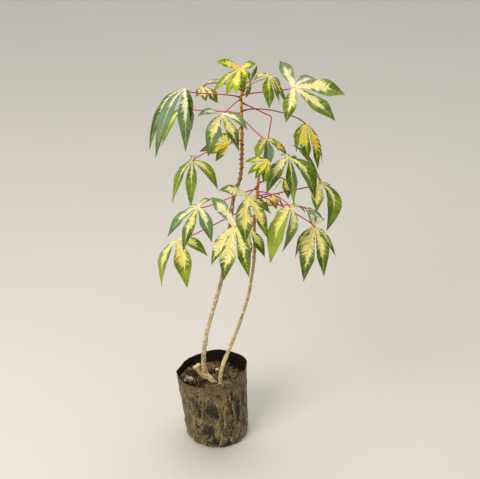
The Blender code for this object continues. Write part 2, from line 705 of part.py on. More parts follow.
def station(lobe, frame, side, phase, share, beside):
    """A lobe's midrib and its two edges at a share of its length, as offsets from the hub."""
    place, heading = along(frame, share)
    across = (side - heading * side.dot(heading)).normalized()
    across = Matrix.Rotation(math.radians(lobe.twist) * share, 3, heading) @ across
    up = heading.cross(across)
    widest = lobe.width * MM / 2 * lobe_width(share)
    edges = []
    for way, start, neighbour in ((-1, 0.0, beside[0]), (1, math.pi / 2, beside[1])):
        half = min(widest, room_beside(place, lobe, neighbour))
        wave = LOBE_WAVE * math.sin(WAVE_TURNS * share + phase + start)
        edges.append(place + across * way * half + up * half * (LOBE_FOLD + wave))
    return edges[0], place, edges[1]


def add_lobe(shape, hub, notches, lobe, frame, side, phase, beside):
    """One lobe's faces, from the hub and the notches beside it out to its tip."""
    before = (notches[0], hub, notches[1])
    for share in blade_stations(frame[2].length):
        low, middle, high = station(lobe, frame, side, phase, share, beside)
        centre = shape.verts.new(hub.co + middle)
        if share == 1.0:
            for one, other in ((0, 1), (1, 2)):
                shape.faces.new((before[one], before[other], centre))
            return
        now = (shape.verts.new(hub.co + low), centre, shape.verts.new(hub.co + high))
        for one, other in ((0, 1), (1, 2)):
            shape.faces.new((before[one], before[other], now[other]))
            shape.faces.new((before[one], now[other], now[one]))
        before = now


def blade_sheet(leaf):
    """The leaf's upper face as one open sheet: lobes that share the points round their hub."""
    rng = random.Random(leaf.name)
    lobes, frames, ways, facing = leaf_layout(leaf)
    sides = [facing.cross(way).normalized() for way in ways]
    shape = bmesh.new()
    hub = shape.verts.new(Vector(leaf.hub) * MM)
    notches = [shape.verts.new(hub.co + offset) for offset in notch_points(frames, ways, sides)]
    fingers = [None] + list(zip(lobes, frames)) + [None]
    for i, (lobe, frame, side) in enumerate(zip(lobes, frames, sides)):
        phase = rng.uniform(0, math.tau)
        beside = (fingers[i], fingers[i + 2])
        add_lobe(shape, hub, notches[i:i + 2], lobe, frame, side, phase, beside)
    bmesh.ops.recalc_face_normals(shape, faces=shape.faces)
    near = min(shape.faces, key=lambda face: (face.calc_center_median() - hub.co).length)
    if near.normal.dot(facing) < 0:
        bmesh.ops.reverse_faces(shape, faces=shape.faces)
    mesh = bpy.data.meshes.new(leaf.name + "_blade")
    shape.to_mesh(mesh)
    shape.free()
    return mesh, facing


def stalk_radius(share):
    """A stalk is thickest where it leaves the stem."""
    return STALK_RADIUS * (STALK_FOOT_SWELL - STALK_TAPER * min(1.0, share / STALK_TAPER_END))


def cubic(points, share):
    """A place on the smooth curve that four control points give."""
    a, b, c, d = points
    rest = 1 - share
    return a * rest ** 3 + b * 3 * rest ** 2 * share + c * 3 * rest * share ** 2 + d * share ** 3


def standoff(heading, axis, radius):
    """How far a stalk's flat end has to stand off a surface to clear it all round."""
    lean = abs(heading.dot(axis))
    return CLEARANCE + radius * math.sqrt(max(0.0, 1 - lean ** 2))


def stem_marks(leaf):
    return TALL_STEM if leaf.stem == "tall" else SHORT_STEM


def stalk_pull(leaf):
    """The point that a stalk's arch is drawn toward, between its stem and its hub."""
    if leaf.bend:
        return Vector(leaf.bend) * MM
    axis, _ = at_height(stem_marks(leaf), leaf.height)
    chord = Vector(leaf.hub) * MM - axis
    return axis + chord * 0.5 + Vector((0, 0, 1)) * leaf.rise * 2 * chord.length


def stalk_path(leaf, facing):
    """From the stem's bark out, arching to the leaf's hub from the side that it comes from."""
    marks = stem_marks(leaf)
    axis, stem_radius = at_height(marks, leaf.height)
    above, _ = at_height(marks, leaf.height + 4)
    grain = (above - axis).normalized()
    hub = Vector(leaf.hub) * MM
    chord = hub - axis
    out = (chord - grain * chord.dot(grain)).normalized()
    pull = stalk_pull(leaf)
    leaving = (pull - axis).normalized()
    start = axis + out * (stem_radius + standoff(leaving, out, stalk_radius(0.0)))
    arriving = (hub - pull).normalized()
    side = 1 if arriving.dot(facing) > UNDERSIDE_LIMIT else -1
    arriving = (arriving + facing * side * ARRIVAL_TURN).normalized()
    reach = BLADE_THICKNESS / 2 + standoff(arriving, facing, stalk_radius(1.0))
    end = hub - facing * side * reach
    handle = min(ARRIVAL_HANDLE, chord.length * ARRIVAL_SHARE)
    controls = (start, start + (pull - start) * LEAVING_SHARE, end - arriving * handle, end)
    if leaf.bend:
        controls = (start, start.lerp(pull, KNEE_SHARE), end.lerp(pull, KNEE_SHARE), end)
    count = max(4, round(chord.length / STALK_STEP))
    return [cubic(controls, k / count) for k in range(count + 1)]


def make_leaf(leaf, collection):
    """A leaf's blade and the stalk that carries it, each a piece of its own."""
    mesh, facing = blade_sheet(leaf)
    blade = add_object(leaf.name + "_blade", mesh, collection, leaf.colour)
    body = blade.modifiers.new("thickness", "SOLIDIFY")
    body.thickness = BLADE_THICKNESS
    body.offset = 0.0

    path = stalk_path(leaf, facing)
    radii = [stalk_radius(k / (len(path) - 1)) for k in range(len(path))]
    stalk = tube_mesh(leaf.name + "_stalk", path, radii, 1)
    add_object(leaf.name + "_stalk", stalk, collection, "stalk_skin")


def tree_of(mesh):
    """A search tree over a mesh's faces."""
    shape = bmesh.new()
    shape.from_mesh(mesh)
    tree = BVHTree.FromBMesh(shape)
    shape.free()
    return tree


def fall(stone, ground):
    """How far a stone can sink straight down before it meets the ground."""
    ground_tree = tree_of(ground)
    stone_tree = tree_of(stone)
    gaps = []
    for tree, mesh, way in ((ground_tree, stone, -1), (stone_tree, ground, 1)):
        for vert in mesh.vertices:
            spot, _, _, gap = tree.ray_cast(vert.co, Vector((0, 0, way)))
            if spot:
                gaps.append(gap)
    return min(gaps)


def make_stones(collection, soil):
    """A pale pebble and a hard clod, let down until they lie on the soil."""
    rng = random.Random(SEED + 1)
    ground = evaluated_mesh(soil, "ground")
    for name, finish, (x, y), size in STONES:
        shape = bmesh.new()
        bmesh.ops.create_icosphere(shape, subdivisions=2, radius=1.0)
        for vert in shape.verts:
            vert.co *= rng.uniform(*STONE_ROUGHNESS)
        bmesh.ops.scale(shape, vec=size, verts=shape.verts)
        bmesh.ops.translate(shape, vec=(x, y, RIM_MEAN_HEIGHT), verts=shape.verts)
        mesh = bpy.data.meshes.new(name)
        shape.to_mesh(mesh)
        shape.free()
        drop = fall(mesh, ground) - CLEARANCE
        mesh.transform(Matrix.Translation((0, 0, -drop)))
        add_object(name, mesh, collection, finish, smooth=False)
    bpy.data.meshes.remove(ground)


def main():
    clear_scene()
    plant = new_collection("potted_cassava")
    cutters = new_collection("cutters")
    make_stems(plant, cutters)
    make_bag(plant)
    soil = make_soil(plant, cutters)
    bpy.context.view_layer.update()
    make_stones(plant, soil)
    for leaf in LEAVES:
        make_leaf(leaf, plant)


main()
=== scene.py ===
# %% [markdown]
# Potted cassava. This lesson dresses a finished, measured model of a young variegated cassava that
# grows in a black nursery bag. The measured solids are loaded first as a fixed frame: they give
# every size and place. Each solid is then replaced by a finer piece of the same size, and each
# piece gets a finish made only of shader nodes.

# %% Load the frame
import math
import random
from dataclasses import dataclass

import bpy
import numpy as np
from mathutils import Euler, Matrix, Vector, noise


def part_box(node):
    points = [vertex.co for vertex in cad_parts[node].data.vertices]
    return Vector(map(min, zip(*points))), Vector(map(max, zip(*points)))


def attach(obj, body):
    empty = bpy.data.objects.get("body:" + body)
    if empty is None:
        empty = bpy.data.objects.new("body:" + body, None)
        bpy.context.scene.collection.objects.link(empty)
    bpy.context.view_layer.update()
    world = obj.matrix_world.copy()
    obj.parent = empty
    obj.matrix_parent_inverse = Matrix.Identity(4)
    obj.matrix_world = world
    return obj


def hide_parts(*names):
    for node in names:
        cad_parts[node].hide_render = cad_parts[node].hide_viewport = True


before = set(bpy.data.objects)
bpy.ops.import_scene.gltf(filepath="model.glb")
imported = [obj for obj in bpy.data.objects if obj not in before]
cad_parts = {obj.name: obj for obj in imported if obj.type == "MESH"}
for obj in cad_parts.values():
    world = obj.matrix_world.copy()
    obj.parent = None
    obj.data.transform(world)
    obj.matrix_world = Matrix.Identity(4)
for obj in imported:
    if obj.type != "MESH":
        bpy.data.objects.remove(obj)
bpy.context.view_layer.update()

MM = 0.001
print("nodes in the frame:", len(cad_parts))

# %% [markdown]
# The camera stands where the viewer stood: a little above the plant's top, looking down at it. Its
# height, tilt and lens were worked out from the bag's rim and foot, which are circles seen at an
# angle. A long lens from about 2 m away keeps the plant's proportions natural.

# %% Camera
LOOK_DOWN = math.radians(28.6)
CAMERA_PLACE = (0.055, -1.79, 1.50)
CAMERA_LENS = 70.5

camera_data = bpy.data.cameras.new("camera")
camera_data.lens = CAMERA_LENS
camera = bpy.data.objects.new("camera", camera_data)
camera.location = CAMERA_PLACE
camera.rotation_euler = (math.pi / 2 - LOOK_DOWN, 0, 0)
bpy.context.scene.collection.objects.link(camera)
bpy.context.scene.camera = camera
print("camera at", CAMERA_PLACE)

# %% [markdown]
# Soft daylight falls from above. A pale dome of light is brightest low behind the plant, which
# gives leaves a broad sheen where they face the sky. A large panel at the left front shapes the
# bag and the stems, and one overhead grounds the plant with a soft shadow.

# %% Light
SKY_COLOUR = (1.0, 0.965, 0.90, 1)
SKY_LEAST = 0.34
SKY_BACK_MORE = 1.15
SKY_BACK_WAY = (0.0, 0.88, 0.48)
SKY_BACK_FROM = 0.35
SKY_BACK_TO = 0.95
PANEL_AIM = (0, 0, 0.5)


def add_sky():
    """A pale dome of light, brighter behind the plant than before it."""
    world = bpy.data.worlds.new("daylight")
    world.use_nodes = True
    nodes, links = world.node_tree.nodes, world.node_tree.links
    background = nodes["Background"]
    background.inputs["Color"].default_value = SKY_COLOUR
    way = nodes.new("ShaderNodeTexCoord")
    facing = nodes.new("ShaderNodeVectorMath")
    facing.operation = "DOT_PRODUCT"
    facing.inputs[1].default_value = SKY_BACK_WAY
    links.new(way.outputs["Generated"], facing.inputs[0])
    strength = nodes.new("ShaderNodeMapRange")
    strength.interpolation_type = "SMOOTHSTEP"
    limits = {"From Min": SKY_BACK_FROM, "From Max": SKY_BACK_TO,
              "To Min": SKY_LEAST, "To Max": SKY_LEAST + SKY_BACK_MORE}
    for socket, value in limits.items():
        strength.inputs[socket].default_value = value
    links.new(facing.outputs["Value"], strength.inputs["Value"])
    links.new(strength.outputs["Result"], background.inputs["Strength"])
    bpy.context.scene.world = world


def add_panel(name, place, size, power, colour):
    """A square area light at a place, turned to face the middle of the plant."""
    data = bpy.data.lights.new(name, "AREA")
    data.size = size
    data.energy = power
    data.color = colour
    panel = bpy.data.objects.new(name, data)
    panel.location = place
    panel.rotation_euler = (Vector(PANEL_AIM) - Vector(place)).to_track_quat("-Z", "Y").to_euler()
    bpy.context.scene.collection.objects.link(panel)


add_sky()
bpy.context.scene.view_settings.view_transform = "Standard"
add_panel("key_panel", place=(-1.5, -1.7, 2.4), size=1.6, power=66, colour=(1.0, 0.93, 0.82))
add_panel("top_panel", place=(0.2, 0.3, 3.2), size=2.0, power=20, colour=(1.0, 0.97, 0.92))
print("panels:", [light.name for light in bpy.data.lights])

# %% [markdown]
# Shader maths reads best as plain arithmetic. A small class wraps one output of a node, and its
# operators add Math nodes. Another holds the material being made and adds any other node.

# %% Shader helpers
class Wire:
    """One output of a node, on which Python arithmetic adds Math nodes."""

    def __init__(self, finish, socket):
        self.finish = finish
        self.socket = socket

    def maths(self, operation, *values, clamp=False):
        settings = {"operation": operation, "use_clamp": clamp}
        return self.finish.add("ShaderNodeMath", settings, dict(enumerate(values)))

    def __add__(self, other):
        return self.maths("ADD", self, other)

    def __radd__(self, other):
        return self.maths("ADD", other, self)

    def __sub__(self, other):
        return self.maths("SUBTRACT", self, other)

    def __rsub__(self, other):
        return self.maths("SUBTRACT", other, self)

    def __mul__(self, other):
        return self.maths("MULTIPLY", self, other)

    def __rmul__(self, other):
        return self.maths("MULTIPLY", other, self)

    def __truediv__(self, other):
        return self.maths("DIVIDE", self, other)

    def __pow__(self, other):
        return self.maths("POWER", self, other)

    def __abs__(self):
        return self.maths("ABSOLUTE", self)

    def clamped(self):
        return self.maths("ADD", self, 0.0, clamp=True)

    def floor(self):
        return self.maths("FLOOR", self)

    def between(self, low, high):
        """0 below the first value, 1 above the second, and a smooth step from one to the other."""
        return self.finish.add("ShaderNodeMapRange", {"interpolation_type": "SMOOTHSTEP"},
                               {"Value": self, "From Min": low, "From Max": high})


class Finish:
    """A material under construction: a Principled shader and the nodes that feed it."""

    def __init__(self, name, **constants):
        self.material = bpy.data.materials.new(name)
        self.material.use_nodes = True
        self.tree = self.material.node_tree
        self.shader = self.tree.nodes["Principled BSDF"]
        for socket, value in constants.items():
            self.shader.inputs[socket.replace("_", " ")].default_value = value

    def join(self, socket, value):
        if isinstance(value, Wire):
            self.tree.links.new(value.socket, socket)
        else:
            socket.default_value = value

    def add(self, kind, settings=None, sockets=None, output=0):
        node = self.tree.nodes.new(kind)
        for name, value in (settings or {}).items():
            if name == "stops":
                self.set_stops(node.color_ramp, value)
            else:
                setattr(node, name, value)
        for key, value in (sockets or {}).items():
            self.join(node.inputs[key], value)
        return Wire(self, node.outputs[output])

    def set_stops(self, ramp, stops):
        while len(ramp.elements) < len(stops):
            ramp.elements.new(1.0)
        for element, (position, colour) in zip(ramp.elements, stops):
            element.position = position
            element.color = (*colour, 1.0)

    def place(self, stretch=(1, 1, 1), shift=(0, 0, 0)):
        """The point being shaded, in metres, stretched and shifted."""
        point = self.add("ShaderNodeTexCoord", output="Object")
        sockets = {"Vector": point, "Scale": stretch, "Location": shift}
        return self.add("ShaderNodeMapping", {}, sockets)

    def height(self):
        point = self.add("ShaderNodeTexCoord", output="Object")
        return self.add("ShaderNodeSeparateXYZ", {}, {0: point}, output="Z")

    def noise(self, place, scale, detail=3.0, roughness=0.55, distortion=0.0):
        sockets = {"Vector": place, "Scale": scale, "Detail": detail, "Roughness": roughness,
                   "Distortion": distortion}
        return self.add("ShaderNodeTexNoise", {}, sockets, output="Fac")

    def attribute(self, name, output="Fac"):
        return self.add("ShaderNodeAttribute", {"attribute_name": name}, output=output)

    def blend(self, factor, first, second):
        """A colour that goes from the first to the second with the factor."""
        colours = {6: self.colour(first), 7: self.colour(second)}
        return self.add("ShaderNodeMix", {"data_type": "RGBA"}, {0: factor, **colours}, output=2)

    def colour(self, value):
        return value if isinstance(value, Wire) else (*value, 1.0)

    def ramp(self, factor, stops):
        return self.add("ShaderNodeValToRGB", {"stops": stops}, {"Fac": factor}, output="Color")

    def bump(self, height, distance, strength=1.0):
        sockets = {"Height": height, "Distance": distance, "Strength": strength}
        self.set("Normal", self.add("ShaderNodeBump", {}, sockets))

    def set(self, socket, value):
        self.join(self.shader.inputs[socket], value)


# %% [markdown]
# Every piece goes through the same few steps, so each step is a short function. Operators act on
# whatever is selected, so each function first clears the selection and then picks its own object.

# %% Object helpers
def deselect():
    if bpy.context.object and bpy.context.object.mode != "OBJECT":
        bpy.ops.object.mode_set(mode="OBJECT")
    bpy.ops.object.select_all(action="DESELECT")


def activate(*things):
    """Selects these objects alone; the last one is the active one."""
    deselect()
    for thing in things:
        thing.select_set(True)
    bpy.context.view_layer.objects.active = things[-1]
    return things[-1]


def points_of(thing):
    """The coordinates of a mesh's points as an array."""
    flat = np.empty(len(thing.data.vertices) * 3)
    thing.data.vertices.foreach_get("co", flat)
    return flat.reshape(-1, 3)


def put_points(thing, points):
    thing.data.vertices.foreach_set("co", np.ascontiguousarray(points, dtype=np.float64).ravel())
    thing.data.update()


def apply(thing, kind, **settings):
    """Adds a modifier with these settings and applies it."""
    activate(thing)
    modifier = thing.modifiers.new(kind.lower(), kind)
    for name, value in settings.items():
        setattr(modifier, name, value)
    bpy.ops.object.modifier_apply(modifier=modifier.name)


def merge_doubles(thing, distance=0.00001):
    """Welds the points that lie on each other and turns every face outward."""
    activate(thing)
    bpy.ops.object.mode_set(mode="EDIT")
    bpy.ops.mesh.select_all(action="SELECT")
    bpy.ops.mesh.remove_doubles(threshold=distance)
    bpy.ops.mesh.normals_make_consistent(inside=False)
    bpy.ops.object.mode_set(mode="OBJECT")


def join(things, name):
    """Joins objects into one, under a new name."""
    whole = activate(*things)
    if len(things) > 1:
        bpy.ops.object.join()
    whole.name = name
    whole.data.name = name
    return whole


def paint(thing, name, values):
    """Stores a number for each point of a mesh, for a material to read."""
    layer = thing.data.attributes.get(name) or thing.data.attributes.new(name, "FLOAT", "POINT")
    layer.data.foreach_set("value", np.ascontiguousarray(values, dtype=np.float32))


def finish_piece(piece, nodes, finish, angle=50):
    """Shades a piece smooth, gives it its finish, and puts it in the place of its solids."""
    activate(piece)
    bpy.ops.object.shade_smooth_by_angle(angle=math.radians(angle))
    piece.data.materials.clear()
    piece.data.materials.append(finish.material)
    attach(piece, "root")
    if nodes:
        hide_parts(*nodes)
    triangles = sum(len(face.vertices) - 2 for face in piece.data.polygons)
    print(piece.name, triangles, "triangles")


def add_grid(columns, rows):
    """A flat grid whose points run from 0 to 1 both ways, with its parameters as two arrays."""
    deselect()
    bpy.ops.mesh.primitive_grid_add(x_subdivisions=columns, y_subdivisions=rows, size=1.0)
    sheet = bpy.context.object
    flat = points_of(sheet) + 0.5
    return sheet, flat[:, 0], flat[:, 1]


# %% [markdown]
# The floor is a large, plain, pale plane. It is only a stage: it isn't part of the object.

# %% Floor
FLOOR_HALF = 9.0
FLOOR_TONES = ((0.62, 0.605, 0.58), (0.66, 0.645, 0.62))

deselect()
bpy.ops.mesh.primitive_plane_add(size=2 * FLOOR_HALF)
floor = bpy.context.object
floor.name = "floor"
floor_finish = Finish("floor_paint", Roughness=0.9)
floor_patches = floor_finish.noise(floor_finish.place(), 1.5, 2.0)
floor_finish.set("Base Color", floor_finish.blend(floor_patches, *FLOOR_TONES))
floor.data.materials.append(floor_finish.material)

# %% [markdown]
# The nursery bag is a tube of thin black polythene with a flat foot, filled with soil. It was sold
# lying flat, so two creases run up its sides and end in peaks at the rim. One flat grid is rolled
# into the whole bag: its rows run from the middle of the base out to the foot, round it, and up the
# wall. Rolling a grid keeps the film in one sheet, which Solidify then gives its thickness.

# %% Bag shape
BAG_HALF_WIDTH = 0.0785
BAG_HALF_DEPTH = 0.0675
BAG_FOOT_RADIUS = 0.0725
BAG_FLAT_RADIUS = 0.064
FILM_THICKNESS = 0.0006
RIM_MEAN_HEIGHT = 0.179
RIM_RISE_TO_RIGHT = 0.010
RIM_RISE_TO_BACK = 0.0045
BAG_LEAN = -0.011
FOOT_ROUNDING = 0.008
LEFT_CREASE = math.radians(184)
LEFT_CREASE_DEPTH = 0.0055
LEFT_CREASE_PEAK = 0.006
RIGHT_CREASE = math.radians(5)
RIGHT_CREASE_DEPTH = 0.002
RIGHT_CREASE_PEAK = 0.009
CREASE_SPREAD = 0.13
PEAK_SPREAD_LEFT = 0.25
PEAK_SPREAD_RIGHT = 0.42
FOLD_DEPTH = 0.0011
FOLD_COUNT = 5
FOLD_SLANT = 14.0
GATHER_DEPTH = 0.0013
GATHER_COUNT = 13
RIM_RIPPLE = 0.0012


def film_radius(angle, height):
    """The bag's plain outer radius: a circle at the foot, an oval at the top."""
    share = np.minimum(1.0, height / RIM_MEAN_HEIGHT)
    wide = BAG_FOOT_RADIUS + (BAG_HALF_WIDTH - BAG_FOOT_RADIUS) * share
    deep = BAG_FOOT_RADIUS + (BAG_HALF_DEPTH - BAG_FOOT_RADIUS) * share
    return wide * deep / np.hypot(deep * np.cos(angle), wide * np.sin(angle))


def crease(angle, centre, spread):
    apart = np.arctan2(np.sin(angle - centre), np.cos(angle - centre))
    return np.exp(-(apart / spread) ** 2)


def film_folds(angle, height):
    """How far the film stands out from its plain radius: two side creases, folds and gathers."""
    share = np.minimum(1.0, height / RIM_MEAN_HEIGHT)
    left = LEFT_CREASE_DEPTH * share * crease(angle, LEFT_CREASE, CREASE_SPREAD)
    right = RIGHT_CREASE_DEPTH * share * crease(angle, RIGHT_CREASE, CREASE_SPREAD)
    folds = FOLD_DEPTH * (1 + np.sin(FOLD_COUNT * angle + FOLD_SLANT * height)) * share
    gathers = GATHER_DEPTH * (1 + np.sin(GATHER_COUNT * angle)) * (1 - share) ** 2
    return left + right + folds + gathers


def rim_height(angle):
    """The height of the bag's uneven rim, with a peak at each side crease."""
    peak_right = RIGHT_CREASE_PEAK * crease(angle, RIGHT_CREASE, PEAK_SPREAD_RIGHT)
    peak_left = LEFT_CREASE_PEAK * crease(angle, LEFT_CREASE, PEAK_SPREAD_LEFT)
    ripple = RIM_RIPPLE * np.sin(FOLD_COUNT * angle)
    lean = RIM_RISE_TO_RIGHT * np.cos(angle) + RIM_RISE_TO_BACK * np.sin(angle)
    return RIM_MEAN_HEIGHT + lean + peak_right + peak_left + ripple


def bag_place(angle, radius, height):
    """A place in the bag, whose middle leans to the left toward the top."""
    lean = BAG_LEAN * np.minimum(1.0, height / RIM_MEAN_HEIGHT)
    return np.stack([lean + radius * np.cos(angle), radius * np.sin(angle), height], axis=-1)


rim_heights = rim_height(np.radians(np.arange(360)))
print("rim from", round(rim_heights.min(), 4), "to", round(rim_heights.max(), 4), "m")

# %% [markdown]
# The film is pulled about by the soil in it. Ridged noise gives it fine wrinkles, and each long
# pleat is a row in a list: the turn and height where it starts, the same where it ends, and how
# deep it is. The front ones follow the real bag. Those at the back and round the foot are made up.

# %% Bag wrinkles and pleats
WRINKLE_DEPTH = 0.0015
WRINKLE_INWARD = 0.5
WRINKLE_CELLS = (2.2, 2.2, 14)
SLANTED_SCALE, SLANTED_SHARE = 1.6, 0.9
SLANT, SLANT_SHIFT = 0.8, 5
CRUMPLED_SCALE, CRUMPLED_SHARE = 4.1, 0.35
UPRIGHT_SCALE, UPRIGHT_SHARE = (5, 5, 0.7), 1.1
FOOT_WRINKLES_TOP = 0.045
PLEAT_WIDTH = 0.0021
PLEAT_DEPTH = 0.0013
PLEAT_FADE = 0.012
PLEAT_VALLEY = 0.9
PLEAT_SWAY = 0.007
SWAY_SCALE, SWAY_UP = 2.6, 12
SWAY_SEED = 5
PLEATS = [
    (216, 0.094, 242, 0.067, 1.5), (224, 0.073, 249, 0.049, 1.3), (232, 0.158, 252, 0.147, 1.0),
    (314, 0.145, 306, 0.057, 1.6), (329, 0.122, 321, 0.046, 1.5), (273, 0.132, 286, 0.089, 1.1),
    (296, 0.120, 286, 0.050, 1.0), (244, 0.032, 260, 0.007, 1.4), (206, 0.150, 214, 0.100, 1.0),
    (248, 0.110, 262, 0.085, 0.9), (338, 0.160, 345, 0.080, 1.3), (300, 0.155, 311, 0.120, 1.0),
]
BACK_PLEATS = 14
BACK_PLEAT_TURN = (-5, 195)
BACK_PLEAT_TOP = (0.06, 0.165)
BACK_PLEAT_SWING = 25
BACK_PLEAT_FALL = (0.02, 0.07)
BACK_PLEAT_DEPTH = (0.8, 1.5)
FOOT_PLEATS = 24
FOOT_PLEAT_TOP = (0.016, 0.046)
FOOT_PLEAT_SWING = 24
FOOT_PLEAT_END = 0.003
FOOT_PLEAT_DEPTH = (0.6, 1.4)


def ridged(place):
    """Noise with sharp crests, which are highest at 1, for wrinkles."""
    return 1 - abs(noise.noise(place)) * 2


def wrinkles(angle, height):
    """Fine wrinkles: sharp slanting ones on the wall and upright ones gathered at the foot."""
    spots = np.stack([np.cos(angle), np.sin(angle), height], axis=-1) * WRINKLE_CELLS
    slanted = np.array([ridged(Vector(s) * SLANTED_SCALE + Vector((s[2] * SLANT, 0, SLANT_SHIFT)))
                        for s in spots])
    crumpled = np.array([ridged(Vector(s) * CRUMPLED_SCALE) for s in spots])
    upright = np.array([ridged(Vector(s)) for s in spots * UPRIGHT_SCALE])
    foot = np.clip(1 - height / FOOT_WRINKLES_TOP, 0, 1)
    wall = slanted ** 3 * SLANTED_SHARE + crumpled ** 2 * CRUMPLED_SHARE
    gathered = upright ** 2 * foot * UPRIGHT_SHARE
    return WRINKLE_DEPTH * (wall * (1 - foot) + gathered - WRINKLE_INWARD)


def all_pleats():
    """The long pleats seen from the front, and made-up ones at the back and round the foot."""
    rng = random.Random(5)
    pleats = list(PLEATS)
    for _ in range(BACK_PLEATS):
        turn, top = rng.uniform(*BACK_PLEAT_TURN), rng.uniform(*BACK_PLEAT_TOP)
        pleats.append((turn, top, turn + rng.uniform(-BACK_PLEAT_SWING, BACK_PLEAT_SWING),
                       top - rng.uniform(*BACK_PLEAT_FALL), rng.uniform(*BACK_PLEAT_DEPTH)))
    for i in range(FOOT_PLEATS):
        turn = (i + rng.uniform(0.1, 0.9)) * 360 / FOOT_PLEATS
        top = rng.uniform(*FOOT_PLEAT_TOP)
        pleats.append((turn, top, turn + rng.uniform(-FOOT_PLEAT_SWING, FOOT_PLEAT_SWING),
                       FOOT_PLEAT_END, rng.uniform(*FOOT_PLEAT_DEPTH)))
    return pleats


def pleat_relief(angle, height):
    """Each pleat lifts the film to a narrow crest, with a valley along one side of it."""
    lift = np.zeros_like(height)
    spots = np.stack([np.cos(angle), np.sin(angle), height * SWAY_UP], axis=-1) * SWAY_SCALE
    noise.seed_set(SWAY_SEED)  # vector noise starts from the clock unless it has a seed
    sway = np.array([noise.noise_vector(Vector(s)) for s in spots])
    angle = angle + sway[:, 0] * PLEAT_SWAY / BAG_FOOT_RADIUS
    height = height + sway[:, 1] * PLEAT_SWAY
    for turn, top, end_turn, end, depth in all_pleats():
        apart = angle - math.radians(turn)
        across = np.arctan2(np.sin(apart), np.cos(apart)) * BAG_FOOT_RADIUS
        run = np.array([math.radians(end_turn - turn) * BAG_FOOT_RADIUS, end - top])
        length = math.hypot(*run)
        along = (across * run[0] + (height - top) * run[1]) / length
        aside = (across * run[1] - (height - top) * run[0]) / length
        inside = np.clip(np.minimum(along, length - along) / PLEAT_FADE + 0.5, 0, 1)
        crest = np.exp(-(aside / PLEAT_WIDTH) ** 2)
        valley = np.exp(-((aside - 2 * PLEAT_WIDTH) / PLEAT_WIDTH) ** 2)
        lift += depth * PLEAT_DEPTH * inside * (crest - PLEAT_VALLEY * valley)
    return lift


print("pleats:", len(all_pleats()))

# %% [markdown]
# Two kinds of mark belong to places on the bag, so they are worked out with its shape and stored on
# it: patches where the black film shows, each a turn, a height and two sizes, and the soil that has
# spilt over the front of the rim.

# %% Bag marks
BARE_PATCHES = [
    (267, 0.106, 7, 0.014), (275, 0.092, 5, 0.010), (263, 0.050, 9, 0.022),
    (266, 0.018, 12, 0.012), (317, 0.095, 7, 0.028), (309, 0.128, 5, 0.016),
    (189, 0.165, 12, 0.018), (292, 0.008, 20, 0.006), (243, 0.093, 6, 0.010),
    (336, 0.060, 7, 0.022), (283, 0.150, 6, 0.008), (226, 0.130, 7, 0.010),
    (20, 0.100, 14, 0.030), (66, 0.060, 12, 0.024), (110, 0.120, 15, 0.028),
    (150, 0.050, 13, 0.022), (40, 0.150, 10, 0.014), (176, 0.090, 9, 0.030),
]
RIM_DIRT_REACH = 0.030
RIM_DIRT_SPREAD = 2.2
RIM_DIRT_EDGE = 0.6


def bare_film(angle, height):
    """1 in the middle of each patch where the black film shows through the dust."""
    mask = np.zeros_like(height)
    for turn, middle, wide, tall in BARE_PATCHES:
        apart = angle - math.radians(turn)
        aside = np.degrees(np.arctan2(np.sin(apart), np.cos(apart))) / wide
        mask = np.maximum(mask, np.exp(-aside ** 2 - ((height - middle) / tall) ** 2))
    return mask


def rim_dirt(angle, height):
    """1 at the front of the rim, where soil has spilt over it, fading downward."""
    below = rim_height(angle) - height
    front = np.clip(-np.sin(angle) * RIM_DIRT_SPREAD - RIM_DIRT_EDGE, 0, 1)
    return np.clip(1 - below / RIM_DIRT_REACH, 0, 1) * front


print("bare patches:", len(BARE_PATCHES))

# %% [markdown]
# The grid becomes the bag row by row, first the base, then the rounded foot, then the wall. Its
# relief is stored too, as crests and valleys, for the finish's painted highlight on the crests and
# painted shade in the valleys. The film is thickened inward, which leaves its outer points first in
# the list, so that the inner wall can be told from them.

# %% Bag
BAG_COLUMNS = 300
BAG_ROWS = 120
BASE_ROWS = 8
FOOT_ROWS = 8
FOOT_RELIEF_GAIN = 1.2
VALLEY_SHADE_START = 0.1
CREST_HIGHLIGHT_START = 0.5
CREST_HIGHLIGHT_GAIN = 1.6


